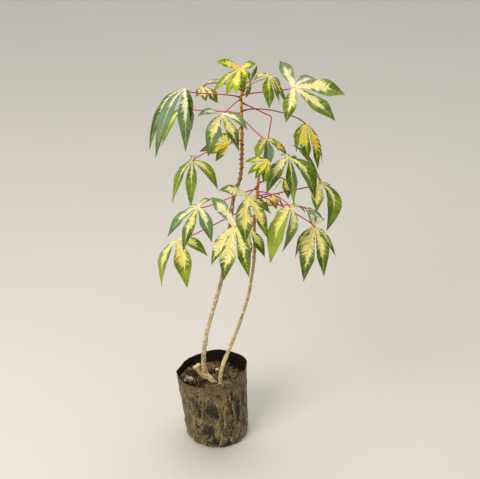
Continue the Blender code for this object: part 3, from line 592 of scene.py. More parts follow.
def make_bag():
    sheet, across, up = add_grid(BAG_COLUMNS, BAG_ROWS)
    angle = across * math.tau
    row = np.round(up * BAG_ROWS)
    base = np.clip(row / BASE_ROWS, 0, 1)
    foot = np.clip((row - BASE_ROWS) / FOOT_ROWS, 0, 1)
    wall = np.clip((row - BASE_ROWS - FOOT_ROWS) / (BAG_ROWS - BASE_ROWS - FOOT_ROWS), 0, 1)
    foot_height = FOOT_ROUNDING * (1 - np.cos(math.pi / 2 * foot))
    height = foot_height + (rim_height(angle) - FOOT_ROUNDING) * wall
    foot_radius = film_radius(angle, FOOT_ROUNDING) + film_folds(angle, FOOT_ROUNDING)
    rounded = BAG_FLAT_RADIUS + (foot_radius - BAG_FLAT_RADIUS) * np.sin(math.pi / 2 * foot)
    standing = film_radius(angle, height) + film_folds(angle, height)
    radius = np.where(wall > 0, standing, rounded * base)
    relief = wrinkles(angle, height) + pleat_relief(angle, height)
    relief = relief * np.clip(foot * FOOT_RELIEF_GAIN, 0, 1)
    radius += relief
    put_points(sheet, bag_place(angle, radius, height))
    # The valley and crest marks are read by the finish for painted shade in valleys and painted
    # highlight on crests
    paint(sheet, "valley", np.clip(VALLEY_SHADE_START - relief / WRINKLE_DEPTH, 0, 1))
    paint(sheet, "crest", np.clip(relief / WRINKLE_DEPTH * CREST_HIGHLIGHT_GAIN - CREST_HIGHLIGHT_START, 0, 1))
    paint(sheet, "rim_dirt", rim_dirt(angle, height))
    paint(sheet, "bare", bare_film(angle, height))
    merge_doubles(sheet)
    lowest = min(sheet.data.polygons, key=lambda face: face.center.z)
    if lowest.normal.z > 0:
        sheet.data.flip_normals()
    outer_count = len(sheet.data.vertices)
    apply(sheet, "SOLIDIFY", thickness=FILM_THICKNESS, offset=-1.0)
    paint(sheet, "inner_wall", np.arange(len(sheet.data.vertices)) >= outer_count)
    sheet.name = "nursery_bag_film"
    return sheet


bag = make_bag()
print("film thickness:", FILM_THICKNESS, "m")

# %% [markdown]
# Old nursery film is black, but dust, dried mud and algae cover most of it. Noise of three sizes
# decides where dust lies, and the marks stored on the sheet steer it: crests get a painted
# highlight, valleys and thin crease lines get a near-black painted shade, the bare patches show the
# black film, and soil sticks below the front of the rim. Dust is matt, so the same mask raises the
# roughness.

# %% Bag finish
DUST_EDGE = (0.37, 0.52)
MUD_TONES = [(0.32, (0.210, 0.155, 0.052)), (0.44, (0.270, 0.160, 0.066)),
             (0.55, (0.235, 0.170, 0.054)), (0.68, (0.330, 0.225, 0.118))]
PALE_GRAIN = (0.50, 0.40, 0.19)
DARK_SPECK = (0.060, 0.045, 0.018)
CLAY_SMEAR = (0.39, 0.285, 0.135)
WIPED_FILM = (0.085, 0.074, 0.040)
THICK_MUD = (0.31, 0.21, 0.08)
BLACK_FILM = (0.008, 0.008, 0.007)
WORN_FILM = (0.036, 0.031, 0.020)
PAINTED_CREST_HIGHLIGHT = (0.56, 0.44, 0.25)
PAINTED_CREASE_SHADE = (0.014, 0.012, 0.008)
SPILT_TONES = [(0.42, (0.020, 0.011, 0.005)), (0.53, (0.13, 0.075, 0.034)),
               (0.64, (0.55, 0.42, 0.27))]


def crumple_lines(finish, place, scale, level, width):
    """Thin wandering lines, 1 along the middle, where a noise passes a level."""
    crossing = finish.noise(place, scale, 3.0, 0.55, 1.3)
    return (1 - abs(crossing - level) / width).clamped()


def film_finish():
    finish = Finish("dusty_black_film", Specular_IOR_Level=0.3)
    place = finish.place()
    leaning = finish.place(stretch=(1, 1, 0.5))
    slanting = finish.place(stretch=(1.3, 1, 0.9), shift=(0.2, 0.5, 0.1))
    broad = finish.noise(leaning, 42.0, 5.0, 0.62, 0.8)
    fine = finish.noise(place, 170.0, 4.0, 0.7, 0.7)
    grain = finish.noise(place, 430.0, 3.0, 0.7)
    stain = finish.noise(finish.place(shift=(0.3, 0.1, 0.7)), 30.0, 4.0, 0.6)
    bare = finish.attribute("bare") * 0.135 + finish.attribute("inner_wall") * 0.5
    valley = finish.attribute("valley")
    # valley: painted shade, which thins the dust in the wrinkle valleys
    lying = broad * 0.50 + fine * 0.34 + grain * 0.16 - valley * 0.06 - bare
    dust = lying.between(*DUST_EDGE)
    smear = crumple_lines(finish, slanting, 24.0, 0.53, 0.060)
    wiped = crumple_lines(finish, leaning, 19.0, 0.47, 0.055)
    tone = finish.ramp(stain, MUD_TONES)
    tone = finish.blend(grain.between(0.49, 0.62) * 0.40, tone, PALE_GRAIN)
    tone = finish.blend((0.52 - fine).between(0.0, 0.10) * 0.62, tone, DARK_SPECK)
    tone = finish.blend(smear * 0.55, tone, CLAY_SMEAR)
    tone = finish.blend(wiped * 0.75, tone, WIPED_FILM)
    tone = finish.blend((broad - 0.50).between(0.0, 0.12) * 0.4, tone, THICK_MUD)
    film = finish.blend(grain.between(0.5, 0.7), BLACK_FILM, WORN_FILM)
    colour = finish.blend(dust * 0.94, film, tone)
    # Painted highlight: pale colour along the crests and along thin lines beside the crease lines
    crest_highlight = finish.attribute("crest") * dust
    crest_highlight += crumple_lines(finish, leaning, 46.0, 0.535, 0.020) * dust * 0.6
    colour = finish.blend((crest_highlight * 0.75).clamped(), colour, PAINTED_CREST_HIGHLIGHT)
    # Painted shade: near-black thin crease lines and wrinkle valleys
    shaded_crease_lines = crumple_lines(finish, leaning, 46.0, 0.500, 0.016) * 0.85
    shaded_crease_lines += crumple_lines(finish, slanting, 58.0, 0.510, 0.014) * 0.7
    colour = finish.blend((shaded_crease_lines + valley ** 3 * 0.8).clamped(), colour, PAINTED_CREASE_SHADE)
    spilt = finish.attribute("rim_dirt") + (stain - 0.5) * 0.9
    grit = (spilt.clamped() * (fine * 0.5 + grain * 0.5).between(0.40, 0.54)).clamped()
    colour = finish.blend((grit * 1.3).clamped(), colour, finish.ramp(grain, SPILT_TONES))
    finish.set("Base Color", colour)
    finish.set("Roughness", 0.30 + dust * 0.44)
    finish.bump(fine * 0.28 + grain * 0.10 + grit * 0.5 - shaded_crease_lines * 0.4, 0.0018, 0.9)
    return finish


finish_piece(bag, ["nursery_bag"], film_finish())

# %% [markdown]
# The soil is dark brown and crumbly. It fills the bag to the rim at the front, dips round the
# stems and has a hollow at the left. A square grid is eased into an oval, so that it has no pole,
# and noise lifts it into lumps. Its edge is then extruded down inside the film and closed.

# %% Soil shape
SOIL_HEIGHT = 0.156
SOIL_SLOPE = -0.09
DISH_PLACE = (-0.010, -0.010)
DISH_DEPTH = 0.003
DISH_SPREAD = 0.030
HOLLOW_PLACE = (-0.062, -0.036)
HOLLOW_DEPTH = 0.013
HOLLOW_SPREAD = 0.026
SOIL_GRID = 190
SOIL_DEPTH = 0.03
SOIL_CLEARANCE = 0.0006
SOIL_FOOT_SHRINK = (0.95, 0.95, 0.2)
UNEVEN_SCALE, UNEVEN_HEIGHT = 38, 0.0024
CLOD_SCALE, CLOD_HEIGHT = 115, 0.0042
CLOD_MIX_SCALE, CLOD_MIX_LEAST = 60, 0.7
CRUMB_SCALE, CRUMB_HEIGHT = 215, 0.0030
CRUMB_MIX_SCALE, CRUMB_MIX_LEAST = 90, 0.8
GRIT_SCALE, GRIT_HEIGHT = 430, 0.0010
GAP_SHADE_DEPTH = 0.0028
GAP_SHADE_START = 0.45
GAP_SHADE_MOST = 1.4
HOLLOW_SHADE = 0.9


def soil_top(x, y):
    """The soil's plain surface, without its lumps."""
    from_dish = (x - DISH_PLACE[0]) ** 2 + (y - DISH_PLACE[1]) ** 2
    dish = DISH_DEPTH * np.exp(-from_dish / DISH_SPREAD ** 2)
    from_hollow = (x - HOLLOW_PLACE[0]) ** 2 + (y - HOLLOW_PLACE[1]) ** 2
    hollow = HOLLOW_DEPTH * np.exp(-from_hollow / HOLLOW_SPREAD ** 2)
    return SOIL_HEIGHT + SOIL_SLOPE * y - dish - hollow


def rounded_cells(place, middle=0.52):
    """Noise like packed pebbles: highest in the middle of each cell."""
    return middle - noise.voronoi(place)[0][0]


def lumps(x, y):
    """Clods, crumbs and grit on a gently uneven ground."""
    spot = Vector((x, y, 0.3))
    broad = noise.noise(spot * UNEVEN_SCALE) * UNEVEN_HEIGHT
    clods = rounded_cells(spot * CLOD_SCALE)
    clods *= CLOD_MIX_LEAST + noise.noise(spot * CLOD_MIX_SCALE)
    crumbs = rounded_cells(spot * CRUMB_SCALE + Vector((5, 2, 0)))
    crumbs *= CRUMB_MIX_LEAST + noise.noise(spot * CRUMB_MIX_SCALE)
    grit = rounded_cells(spot * GRIT_SCALE + Vector((3, 1, 0)), 0.5)
    return broad + clods * CLOD_HEIGHT + crumbs * CRUMB_HEIGHT + grit * GRIT_HEIGHT


def make_soil():
    sheet, across, up = add_grid(SOIL_GRID, SOIL_GRID)
    a = across * 2 - 1
    b = up * 2 - 1
    x = a * np.sqrt(1 - b ** 2 / 2)
    y = b * np.sqrt(1 - a ** 2 / 2)
    angle = np.arctan2(y, x)
    film = film_radius(angle, SOIL_HEIGHT) + film_folds(angle, SOIL_HEIGHT)
    radius = np.hypot(x, y) * (film - 2 * FILM_THICKNESS - SOIL_CLEARANCE)
    points = bag_place(angle, radius, np.full_like(radius, SOIL_HEIGHT))
    relief = np.array([lumps(px, py) for px, py, _ in points])
    plain = soil_top(points[:, 0], points[:, 1])
    points[:, 2] = plain + relief
    put_points(sheet, points)
    # Painted shade: the gaps between lumps and the hollow are marked here to be painted near black
    hollow = (SOIL_HEIGHT + SOIL_SLOPE * points[:, 1] - plain) / HOLLOW_DEPTH
    gap = GAP_SHADE_START - relief / GAP_SHADE_DEPTH + hollow * HOLLOW_SHADE
    paint(sheet, "gap", np.clip(gap, 0, GAP_SHADE_MOST))
    activate(sheet)
    bpy.ops.object.mode_set(mode="EDIT")
    bpy.ops.mesh.select_mode(type="EDGE")
    bpy.ops.mesh.select_all(action="SELECT")
    bpy.ops.mesh.region_to_loop()
    bpy.ops.mesh.extrude_region_move(TRANSFORM_OT_translate={"value": (0, 0, -SOIL_DEPTH)})
    bpy.ops.transform.resize(value=SOIL_FOOT_SHRINK,
                             center_override=(BAG_LEAN, 0, SOIL_HEIGHT - SOIL_DEPTH))
    bpy.ops.mesh.edge_face_add()
    bpy.ops.mesh.select_all(action="SELECT")
    bpy.ops.mesh.normals_make_consistent(inside=False)
    bpy.ops.object.mode_set(mode="OBJECT")
    sheet.name = "potting_soil_crumbly"
    return sheet


soil = make_soil()
print("soil points:", len(soil.data.vertices))

# %% [markdown]
# Loose crumbs lie on the soil and along the front rim. One crumb is modelled from a small ball and
# roughened, then copied with a new size and turn for each place.

# %% Loose crumbs
CRUMB_COUNT = 520
CRUMB_SIZES = (0.0007, 0.0030)
CRUMB_LIFT = 0.35
CRUMB_MARGIN = 0.002
MOST_SHARE = 0.93
FRONT_SHARE = 0.45
FRONT_TURN = (222, 330)
FRONT_REACH = (0.80, 0.975)
RIM_CRUMB_COUNT = 130
RIM_CRUMB_TURN = (228, 322)
RIM_CRUMB_SIZE = 0.6
RIM_CRUMB_LIFT = 0.3
RIM_CRUMB_SINK = 0.0002
RIM_CRUMB_FALL = 0.8
RIM_CRUMB_CROWDING = 1.7


def rough_ball(name, subdivisions, amount, frequency, shift):
    """A ball of radius 1 with noise pushed into it."""
    deselect()
    bpy.ops.mesh.primitive_ico_sphere_add(subdivisions=subdivisions, radius=1.0)
    ball = bpy.context.object
    ball.name = name
    points = points_of(ball)
    push = [1 + amount * noise.noise(Vector(p) * frequency + Vector((shift, 0, 0))) for p in points]
    put_points(ball, points * np.array(push)[:, None])
    return ball


def scatter_crumbs():
    rng = random.Random(11)
    crumb = rough_ball("crumb", 1, 0.5, 1.3, 2.0)
    copies = []
    while len(copies) < CRUMB_COUNT + RIM_CRUMB_COUNT:
        angle = rng.uniform(0, math.tau)
        share = math.sqrt(rng.uniform(0.0, MOST_SHARE))
        if rng.random() < FRONT_SHARE:
            angle = rng.uniform(*map(math.radians, FRONT_TURN))
            share = rng.uniform(*FRONT_REACH)
        edge = film_radius(angle, SOIL_HEIGHT) - CRUMB_MARGIN
        x, y, _ = bag_place(angle, share * edge, np.float64(SOIL_HEIGHT))
        size = CRUMB_SIZES[0] + (CRUMB_SIZES[1] - CRUMB_SIZES[0]) * rng.random() ** 2
        squash = Matrix.Diagonal((1, rng.uniform(0.6, 0.95), rng.uniform(0.55, 0.9), 1))
        turn = Euler([rng.uniform(0, math.tau) for _ in range(3)]).to_matrix().to_4x4()
        place = Vector((x, y, soil_top(x, y) + lumps(x, y) + size * CRUMB_LIFT))
        if len(copies) >= CRUMB_COUNT:
            angle = rng.uniform(*map(math.radians, RIM_CRUMB_TURN))
            below = rng.random() ** RIM_CRUMB_CROWDING * RIM_DIRT_REACH * RIM_CRUMB_FALL
            size *= RIM_CRUMB_SIZE
            height = rim_height(angle) - below
            film = film_radius(angle, height) + film_folds(angle, height)
            radius = film + size * RIM_CRUMB_LIFT - RIM_CRUMB_SINK
            place = Vector(bag_place(angle, radius, height))
        copy = bpy.data.objects.new("crumb_copy", crumb.data.copy())
        bpy.context.scene.collection.objects.link(copy)
        copy.data.transform(Matrix.Translation(place) @ turn @ squash @ Matrix.Scale(size, 4))
        copies.append(copy)
    bpy.data.objects.remove(crumb)
    return join(copies, "soil_crumbs")


crumbs = scatter_crumbs()
print("crumbs:", CRUMB_COUNT + RIM_CRUMB_COUNT)

# %% [markdown]
# A pale pebble and a hard clod lie on the soil. Each is a rough ball stretched to the box of its
# solid, or a little more, and lifted onto the clods under it.

# %% Pebble and clod
def fitted_stone(node, name, subdivisions, amount, frequency, growth):
    """A rough stone as large as a node's box, or a little larger, lying on the soil's clods."""
    low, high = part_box(node)
    middle, half = np.array((high + low) / 2), np.array((high - low) / 2) * np.array(growth)
    stone = rough_ball(name, subdivisions, amount, frequency, 7.0)
    points = points_of(stone)
    points /= np.abs(points).max(axis=0)
    middle[2] += max(0.0, lumps(middle[0], middle[1]))
    put_points(stone, points * half + middle)
    return stone


pebble = fitted_stone("white_pebble", "white_pebble_smooth", subdivisions=4, amount=0.3,
                      frequency=1.3, growth=(1.15, 1.15, 1.6))
clod = fitted_stone("surface_clod", "surface_clod_rough", subdivisions=5, amount=0.75,
                    frequency=1.9, growth=(1.1, 1.1, 1.2))
for stone in (pebble, clod):
    print(stone.name, [round(length, 4) for length in stone.dimensions], "m")

# %% [markdown]
# Crumbs are warm brown on top, with a few pale grains of sand and bits of pinkish clay. Their gaps
# and the hollow at the left are painted almost black, as painted shade. The gaps and the hollow
# were marked when the clods were raised, and fine noise changes the colour from crumb to crumb.

# %% Soil finish
SOIL_TONES = [(0.0, (0.008, 0.005, 0.002)), (0.35, (0.042, 0.023, 0.009)),
              (0.70, (0.115, 0.066, 0.029)), (1.0, (0.29, 0.190, 0.105))]
CLAY_BITS = (0.36, 0.215, 0.145)
SAND_GRAINS = (0.62, 0.50, 0.40)
PEBBLE_TONES = ((0.60, 0.46, 0.42), (0.84, 0.74, 0.70), (0.93, 0.88, 0.85))
CLOD_TONES = ((0.10, 0.048, 0.028), (0.33, 0.200, 0.135), (0.62, 0.51, 0.38))


def soil_finish():
    finish = Finish("red_brown_soil", Roughness=0.95, Specular_IOR_Level=0.25)
    place = finish.place()
    patch = finish.noise(place, 70.0, 4.0, 0.6)
    grain = finish.noise(place, 330.0, 3.0, 0.7)
    gap = finish.attribute("gap")
    # Painted shade: the gap mark darkens the soil in its gaps and in the hollow
    lit = (patch * 0.55 + grain * 0.45 - gap * 0.17).between(0.28, 0.56)
    colour = finish.ramp(lit, SOIL_TONES)
    clay = finish.noise(finish.place(shift=(0.4, 0.2, 0.1)), 160.0, 2.0).between(0.60, 0.68)
    colour = finish.blend((clay * (1 - gap)).clamped() * 0.55, colour, CLAY_BITS)
    sand = finish.noise(place, 620.0, 1.0).between(0.68, 0.74)
    finish.set("Base Color", finish.blend(sand * 0.8, colour, SAND_GRAINS))
    finish.bump(grain + patch * 0.5, 0.0012, 0.9)
    return finish


def clod_finish(name, dark, light, pale):
    finish = Finish(name, Roughness=0.88, Specular_IOR_Level=0.35)
    place = finish.place()
    patch = finish.noise(place, 120.0, 4.0, 0.6)
    grain = finish.noise(place, 700.0, 2.0)
    colour = finish.ramp(patch.between(0.3, 0.7), [(0.0, dark), (0.55, light), (1.0, pale)])
    finish.set("Base Color", finish.blend(grain.between(0.55, 0.75) * 0.35, colour, pale))
    finish.bump(patch + grain * 0.5, 0.0008, 0.7)
    return finish


ground = soil_finish()
finish_piece(soil, ["potting_soil"], ground, angle=70)
finish_piece(crumbs, [], ground, angle=60)
chalk = clod_finish("chalky_pebble", *PEBBLE_TONES)
finish_piece(pebble, ["white_pebble"], chalk)
clay = clod_finish("pink_clay_clod", *CLOD_TONES)
finish_piece(clod, ["surface_clod"], clay)

# %% [markdown]
# A cassava stem is woody at the foot and green or reddish at the top, with a knob under each place
# where a leaf has dropped. The stem's centre line is a list of given marks, and a smooth curve
# through them gives the tube. Knobs are sunk into the tube, then a voxel remesh fuses all of
# it into one grown skin, and a smoothing pass rounds the joins.

# %% Stem plan
TALL_STEM = [
    (0, -13, 138, 6.2), (-5, -17, 151, 6.6), (-14, -14, 161, 6.8), (-25, -9, 172, 6.6),
    (-29, -6, 190, 6.2), (-29, -4, 222, 5.6), (-23, 0, 271, 5.1), (-15, 2, 307, 4.7),
    (-6, 4, 341, 4.5), (4, 7, 377, 4.5),
    (13, 10, 413, 4.4), (24, 14, 477, 4.2), (34, 18, 555, 4.1), (40, 21, 606, 4.0),
    (46, 23, 634, 3.8), (54, 24, 653, 3.5), (58, 25, 680, 3.3), (59, 26, 723, 3.2),
    (59, 28, 767, 3.2), (58, 30, 808, 3.2), (57, 30, 840, 3.1), (60, 30, 856, 2.9),
    (62, 29, 867, 1.8),
]
SHORT_STEM = [
    (7, -27, 118, 4.6), (9, -25, 150, 5.2), (10, -25, 176, 5.1), (14, -25, 201, 5.0),
    (22, -26, 229, 4.7), (32, -27, 258, 4.3), (48, -30, 306, 3.9), (61, -32, 353, 3.6),
    (73, -35, 400, 3.5), (80, -37, 449, 3.3), (85, -38, 492, 3.3), (86, -40, 535, 3.2),
    (85, -40, 562, 3.2), (87, -40, 616, 3.2), (91, -40, 662, 3.1), (93, -40, 686, 3.0),
    (95, -40, 704, 2.6), (97, -40, 714, 1.6),
]
BRANCH_STUB = [(-24, -9, 160, 5.4), (-34, -8, 167, 5.3), (-41, -8, 179, 5.0), (-45, -8, 188, 4.6)]
STUB_KNOBS = [(-49, -9, 189, 5.4), (-42, -7, 194, 5.8)]
TALL_SCARS = [
    232, 262, 296, 330, 366, 404, 446, 492, 540, 592, 620, 642, 656, 668, 679, 690, 701, 712, 723,
    733, 757,
]
SHORT_SCARS = [232, 282, 330, 378, 425, 470, 500, 516, 533, 551, 566, 594, 618]
THORNS_FROM = 630
THORNS = [height for height in TALL_SCARS if height > THORNS_FROM]
STALK_FOOT_STAINS = [(853, 240), (841, 305), (831, 300), (815, 258), (807, 275), (793, 312),
                     (785, 232), (771, 290), (846, 80), (828, 120), (800, 60), (779, 100)]
print("scars:", len(TALL_SCARS) + len(SHORT_SCARS))

# %% [markdown]
# Leaves leave a cassava stem two fifths of a turn apart, so the scars do too. A bump stands out
# under each scar, and the tube swells there and narrows a little over it. On the tall stem the
# youngest scars keep two small thorns each.

# %% Stem shape
SCAR_TURN = math.tau * 2 / 5
FIRST_SCAR_ANGLE = 1.0
BUMP_LIFT = 2.0
BUMP_SINK = 0.9
BUMP_STRETCH = (1.0, 1.25, 1.1)
SWELL_REACH, SWELL_SHARE = 3.2, 0.18
WAIST_ABOVE, WAIST_REACH, WAIST_SHARE = 8, 6.0, 0.06
STEM_STEP = 0.003
STEM_SKIN = 0.0007
STEM_SMOOTHING, STEM_SMOOTH_ROUNDS = 0.6, 3
FOOT_TOP = 0.32
FOOT_FADE = 0.10
FOOT_ROUGHNESS = 0.0011
FOOT_COARSE, FOOT_FINE, FOOT_FINE_SHARE = 160, 330, 0.6
SCAR_OUT, SCAR_UP = 0.0012, 0.0008
SCAR_REACH, SCAR_CORE = 0.0025, 1.6
STAIN_SINK = 0.0008
THORN_RISE, THORN_SWING = 3.5, 0.5
THORN_LENGTH = (0.0018, 0.0030)
THORN_LIFT = (-0.0005, 0.002)
THORN_SHOULDER = 0.8
THORN_RADII = (0.0017, 0.0015, 0.0009)


def smooth_path(marks, step):
    """Points about one step apart on a smooth curve through the marks."""
    marks = [Vector(mark[:3]) * MM for mark in marks]
    ends = [marks[0] * 2 - marks[1]] + marks + [marks[-1] * 2 - marks[-2]]
    path = []
    for i in range(1, len(ends) - 2):
        before, start, stop, after = ends[i - 1:i + 3]
        count = max(1, round((stop - start).length / step))
        for k in range(count):
            t = k / count
            path.append(0.5 * (
                2 * start + (stop - before) * t
                + (2 * before - 5 * start + 4 * stop - after) * t ** 2
                + (3 * start - before - 3 * stop + after) * t ** 3))
    path.append(marks[-1])
    return path


def at_height(marks, height):
    """The place on a stem's centre line at a height in millimetres, and the radius there."""
    for low, high in zip(marks, marks[1:]):
        if low[2] <= height <= high[2]:
            share = (height - low[2]) / (high[2] - low[2])
            mixed = [a + (b - a) * share for a, b in zip(low, high)]
            return Vector(mixed[:3]) * MM, mixed[3] * MM
    return Vector(marks[-1][:3]) * MM, marks[-1][3] * MM


def add_tube(name, points, radii, roundness=4):
    """A round tube with capped ends through the points, as a mesh."""
    deselect()
    curve = bpy.data.curves.new(name, "CURVE")
    curve.dimensions = "3D"
    curve.bevel_depth = 1.0
    curve.bevel_resolution = roundness
    curve.use_fill_caps = True
    spline = curve.splines.new("POLY")
    spline.points.add(len(points) - 1)
    for spot, place, radius in zip(spline.points, points, radii):
        spot.co = (*place, 1.0)
        spot.radius = radius
    tube = bpy.data.objects.new(name, curve)
    bpy.context.scene.collection.objects.link(tube)
    activate(tube)
    bpy.ops.object.convert(target="MESH")
    tube = bpy.context.object
    merge_doubles(tube, 0.000001)
    return tube


def add_knob(centre, radius, stretch=(1, 1, 1), turn=0.0):
    deselect()
    bpy.ops.mesh.primitive_uv_sphere_add(segments=16, ring_count=10, radius=radius)
    knob = bpy.context.object
    knob.data.transform(Matrix.Translation(centre) @ Matrix.Rotation(turn, 4, "Z")
                        @ Matrix.Diagonal((*stretch, 1)))
    return knob


def scar_places(marks, scars):
    """Where each leaf scar's bump stands, and the way that it faces."""
    places = []
    for i, scar in enumerate(scars):
        place, radius = at_height(marks, scar + BUMP_LIFT)
        angle = i * SCAR_TURN + FIRST_SCAR_ANGLE
        out = Vector((math.cos(angle), math.sin(angle), 0))
        places.append((place + out * radius * BUMP_SINK, out))
    return places


def swelling(offset):
    """How much a stem swells at a scar and narrows over it, at an offset in millimetres."""
    swell = math.exp(-(offset / SWELL_REACH) ** 2) * SWELL_SHARE
    return swell - math.exp(-((offset - WAIST_ABOVE) / WAIST_REACH) ** 2) * WAIST_SHARE


def stem_radii(path, marks, scars):
    """The stem's radius at each point of its path."""
    radii = []
    for place in path:
        height = place.z / MM
        _, radius = at_height(marks, height)
        radii.append(radius * (1 + sum(swelling(height - scar) for scar in scars)))
    return radii


def add_thorns(marks, scar):
    """The two dry stubs beside a young scar, one on each side of the stem."""
    rng = random.Random(scar)
    stubs = []
    for side in (0, math.pi):
        place, radius = at_height(marks, scar + rng.uniform(0, THORN_RISE))
        angle = side + rng.uniform(-THORN_SWING, THORN_SWING)
        out = Vector((math.cos(angle), math.sin(angle), 0))
        length, lift = rng.uniform(*THORN_LENGTH), rng.uniform(*THORN_LIFT)
        tip = place + out * (radius + length) + Vector((0, 0, lift))
        shoulder = place.lerp(tip, THORN_SHOULDER)
        stubs.append(add_tube("thorn", [place, shoulder, tip], THORN_RADII, roundness=2))
    return stubs


def make_stem(name, marks, scars, bump, extras, thorns=(), stains=()):
    """A stem with its bumps, fused by a voxel remesh and smoothed."""
    path = smooth_path(marks, STEM_STEP)
    parts = [add_tube(name, path, stem_radii(path, marks, scars))] + extras
    places = scar_places(marks, scars)
    for (place, out), scar in zip(places, scars):
        turn = math.atan2(out.y, out.x)
        parts.append(add_knob(place, bump, BUMP_STRETCH, turn))
        if scar in thorns:
            parts += add_thorns(marks, scar)
    stem = join(parts, name)
    apply(stem, "REMESH", mode="VOXEL", voxel_size=STEM_SKIN)
    apply(stem, "SMOOTH", factor=STEM_SMOOTHING, iterations=STEM_SMOOTH_ROUNDS)
    points = roughen_foot(stem)
    for height, turn in stains:
        place, radius = at_height(marks, height)
        angle = math.radians(turn)
        out = Vector((math.cos(angle), math.sin(angle), 0))
        places.append((place + out * (radius - STAIN_SINK), out))
    paint(stem, "scar", scar_paint(points, places))
    return stem


def roughen_foot(stem):
    """Pushes the woody foot of a stem in and out by up to a millimetre; returns all its points."""
    points = points_of(stem)
    normals = np.empty(len(points) * 3)
    stem.data.vertices.foreach_get("normal", normals)
    woody = np.clip((FOOT_TOP - points[:, 2]) / FOOT_FADE, 0, 1)
    push = np.array([noise.noise(Vector(p) * FOOT_COARSE)
                     + FOOT_FINE_SHARE * noise.noise(Vector(p) * FOOT_FINE) for p in points])
    points += normals.reshape(-1, 3) * (push * woody * FOOT_ROUGHNESS)[:, None]
    put_points(stem, points)
    return points


def scar_paint(points, places):
    """1 on each scar's face, fading to 0 beside it."""
    mask = np.zeros(len(points))
    for place, out in places:
        spot = np.array(place + out * SCAR_OUT + Vector((0, 0, SCAR_UP)))
        gap = np.linalg.norm(points - spot, axis=1)
        mask = np.maximum(mask, np.clip(SCAR_CORE - gap / SCAR_REACH, 0, 1))
    return mask


def make_stub():
    """The healed stub of an old branch at the tall stem's foot: a short tube and two knobs."""
    places = [Vector(mark[:3]) * MM for mark in BRANCH_STUB]
    stub = add_tube("stub", places, [mark[3] * MM for mark in BRANCH_STUB])
    return [stub] + [add_knob(Vector(mark[:3]) * MM, mark[3] * MM) for mark in STUB_KNOBS]


tall_stem = make_stem("tall_stem_bark", TALL_STEM, TALL_SCARS, bump=0.0020, extras=make_stub(),
                      thorns=THORNS, stains=STALK_FOOT_STAINS)
short_stem = make_stem("short_stem_bark", SHORT_STEM, SHORT_SCARS, bump=0.0019, extras=[])
for stem in (tall_stem, short_stem):
    print(stem.name, "height", round(stem.dimensions.z, 4), "m")

# %% [markdown]
# Bark changes with age, so its colour follows the height: cream and tan at the woody foot, orange
# brown in the middle, golden yellow at the young top. Streaks run along the stem, pale blotches
# break it up low down, and the painted scar mask darkens or whitens each scar.

# %% Bark finish
STREAK_TONE = (0.20, 0.105, 0.045)
BLOTCH_TONE = (0.74, 0.64, 0.38)
RING_DARK, RING_PALE = (0.24, 0.150, 0.060), (0.86, 0.76, 0.52)
PIT_TONE = (0.15, 0.095, 0.035)
SPECK_TONE = (0.11, 0.055, 0.025)
WOODY_UP_TO = (0.30, 0.60)
FOOT_UP_TO = (0.20, 0.34)
TALL_BARK_TONES = [
    (0.00, (0.60, 0.46, 0.24)), (0.12, (0.64, 0.50, 0.28)), (0.30, (0.56, 0.41, 0.20)),
    (0.42, (0.42, 0.28, 0.11)), (0.60, (0.27, 0.150, 0.040)), (0.68, (0.25, 0.130, 0.032)),
    (0.75, (0.40, 0.185, 0.028)), (0.86, (0.50, 0.230, 0.022)), (0.91, (0.68, 0.38, 0.022)),
    (1.00, (0.72, 0.50, 0.040)),
]
SHORT_BARK_TONES = [
    (0.00, (0.74, 0.64, 0.30)), (0.13, (0.72, 0.60, 0.27)), (0.22, (0.58, 0.43, 0.16)),
    (0.42, (0.50, 0.34, 0.12)), (0.54, (0.48, 0.26, 0.095)), (0.68, (0.46, 0.175, 0.050)),
    (0.90, (0.52, 0.21, 0.040)), (1.00, (0.52, 0.16, 0.070)),
]


def bark_finish(name, low, high, stops, scar_low, scar_high, scar_turn):
    finish = Finish(name, Specular_IOR_Level=0.45)
    place = finish.place()
    upright = finish.place(stretch=(1, 1, 0.16))
    height = finish.height()
    streak = finish.noise(upright, 260.0, 3.0, 0.6)
    blotch = finish.noise(place, 85.0, 3.0, 0.55)
    speck = finish.noise(place, 620.0, 2.0)
    age = finish.add("ShaderNodeMapRange", {}, {"Value": height + (blotch - 0.5) * 0.04,
                                               "From Min": low, "From Max": high})
    colour = finish.ramp(age, stops)
    colour = finish.blend(streak.between(0.5, 0.72) * 0.35, colour, STREAK_TONE)
    woody = 1 - height.between(*WOODY_UP_TO)
    colour = finish.blend(blotch.between(0.52, 0.66) * woody * 0.6, colour, BLOTCH_TONE)
    pits = finish.noise(finish.place(shift=(0.1, 0.3, 0.2)), 210.0, 3.0, 0.6).between(0.57, 0.66)
    foot = 1 - height.between(*FOOT_UP_TO)
    level = finish.place(stretch=(0.35, 0.35, 1), shift=(0.2, 0.1, 0.6))
    ringed = finish.noise(level, 170.0, 3.0, 0.6)
    colour = finish.blend(ringed.between(0.55, 0.63) * woody * 0.75, colour, RING_DARK)
    colour = finish.blend((1 - ringed.between(0.36, 0.44)) * woody * 0.8, colour, RING_PALE)
    colour = finish.blend(pits * (0.25 + foot * 0.5), colour, PIT_TONE)
    colour = finish.blend(speck.between(0.60, 0.68) * 0.45, colour, SPECK_TONE)
    scar = finish.attribute("scar")
    scar_colour = finish.blend(height.between(*scar_turn), scar_low, scar_high)
    finish.set("Base Color", finish.blend(scar * 0.92, colour, scar_colour))
    finish.set("Roughness", 0.50 + blotch * 0.2)
    finish.bump(streak * 0.5 + blotch * 0.5 + speck * 0.2 - ringed * woody, 0.0008, 0.8)
    return finish


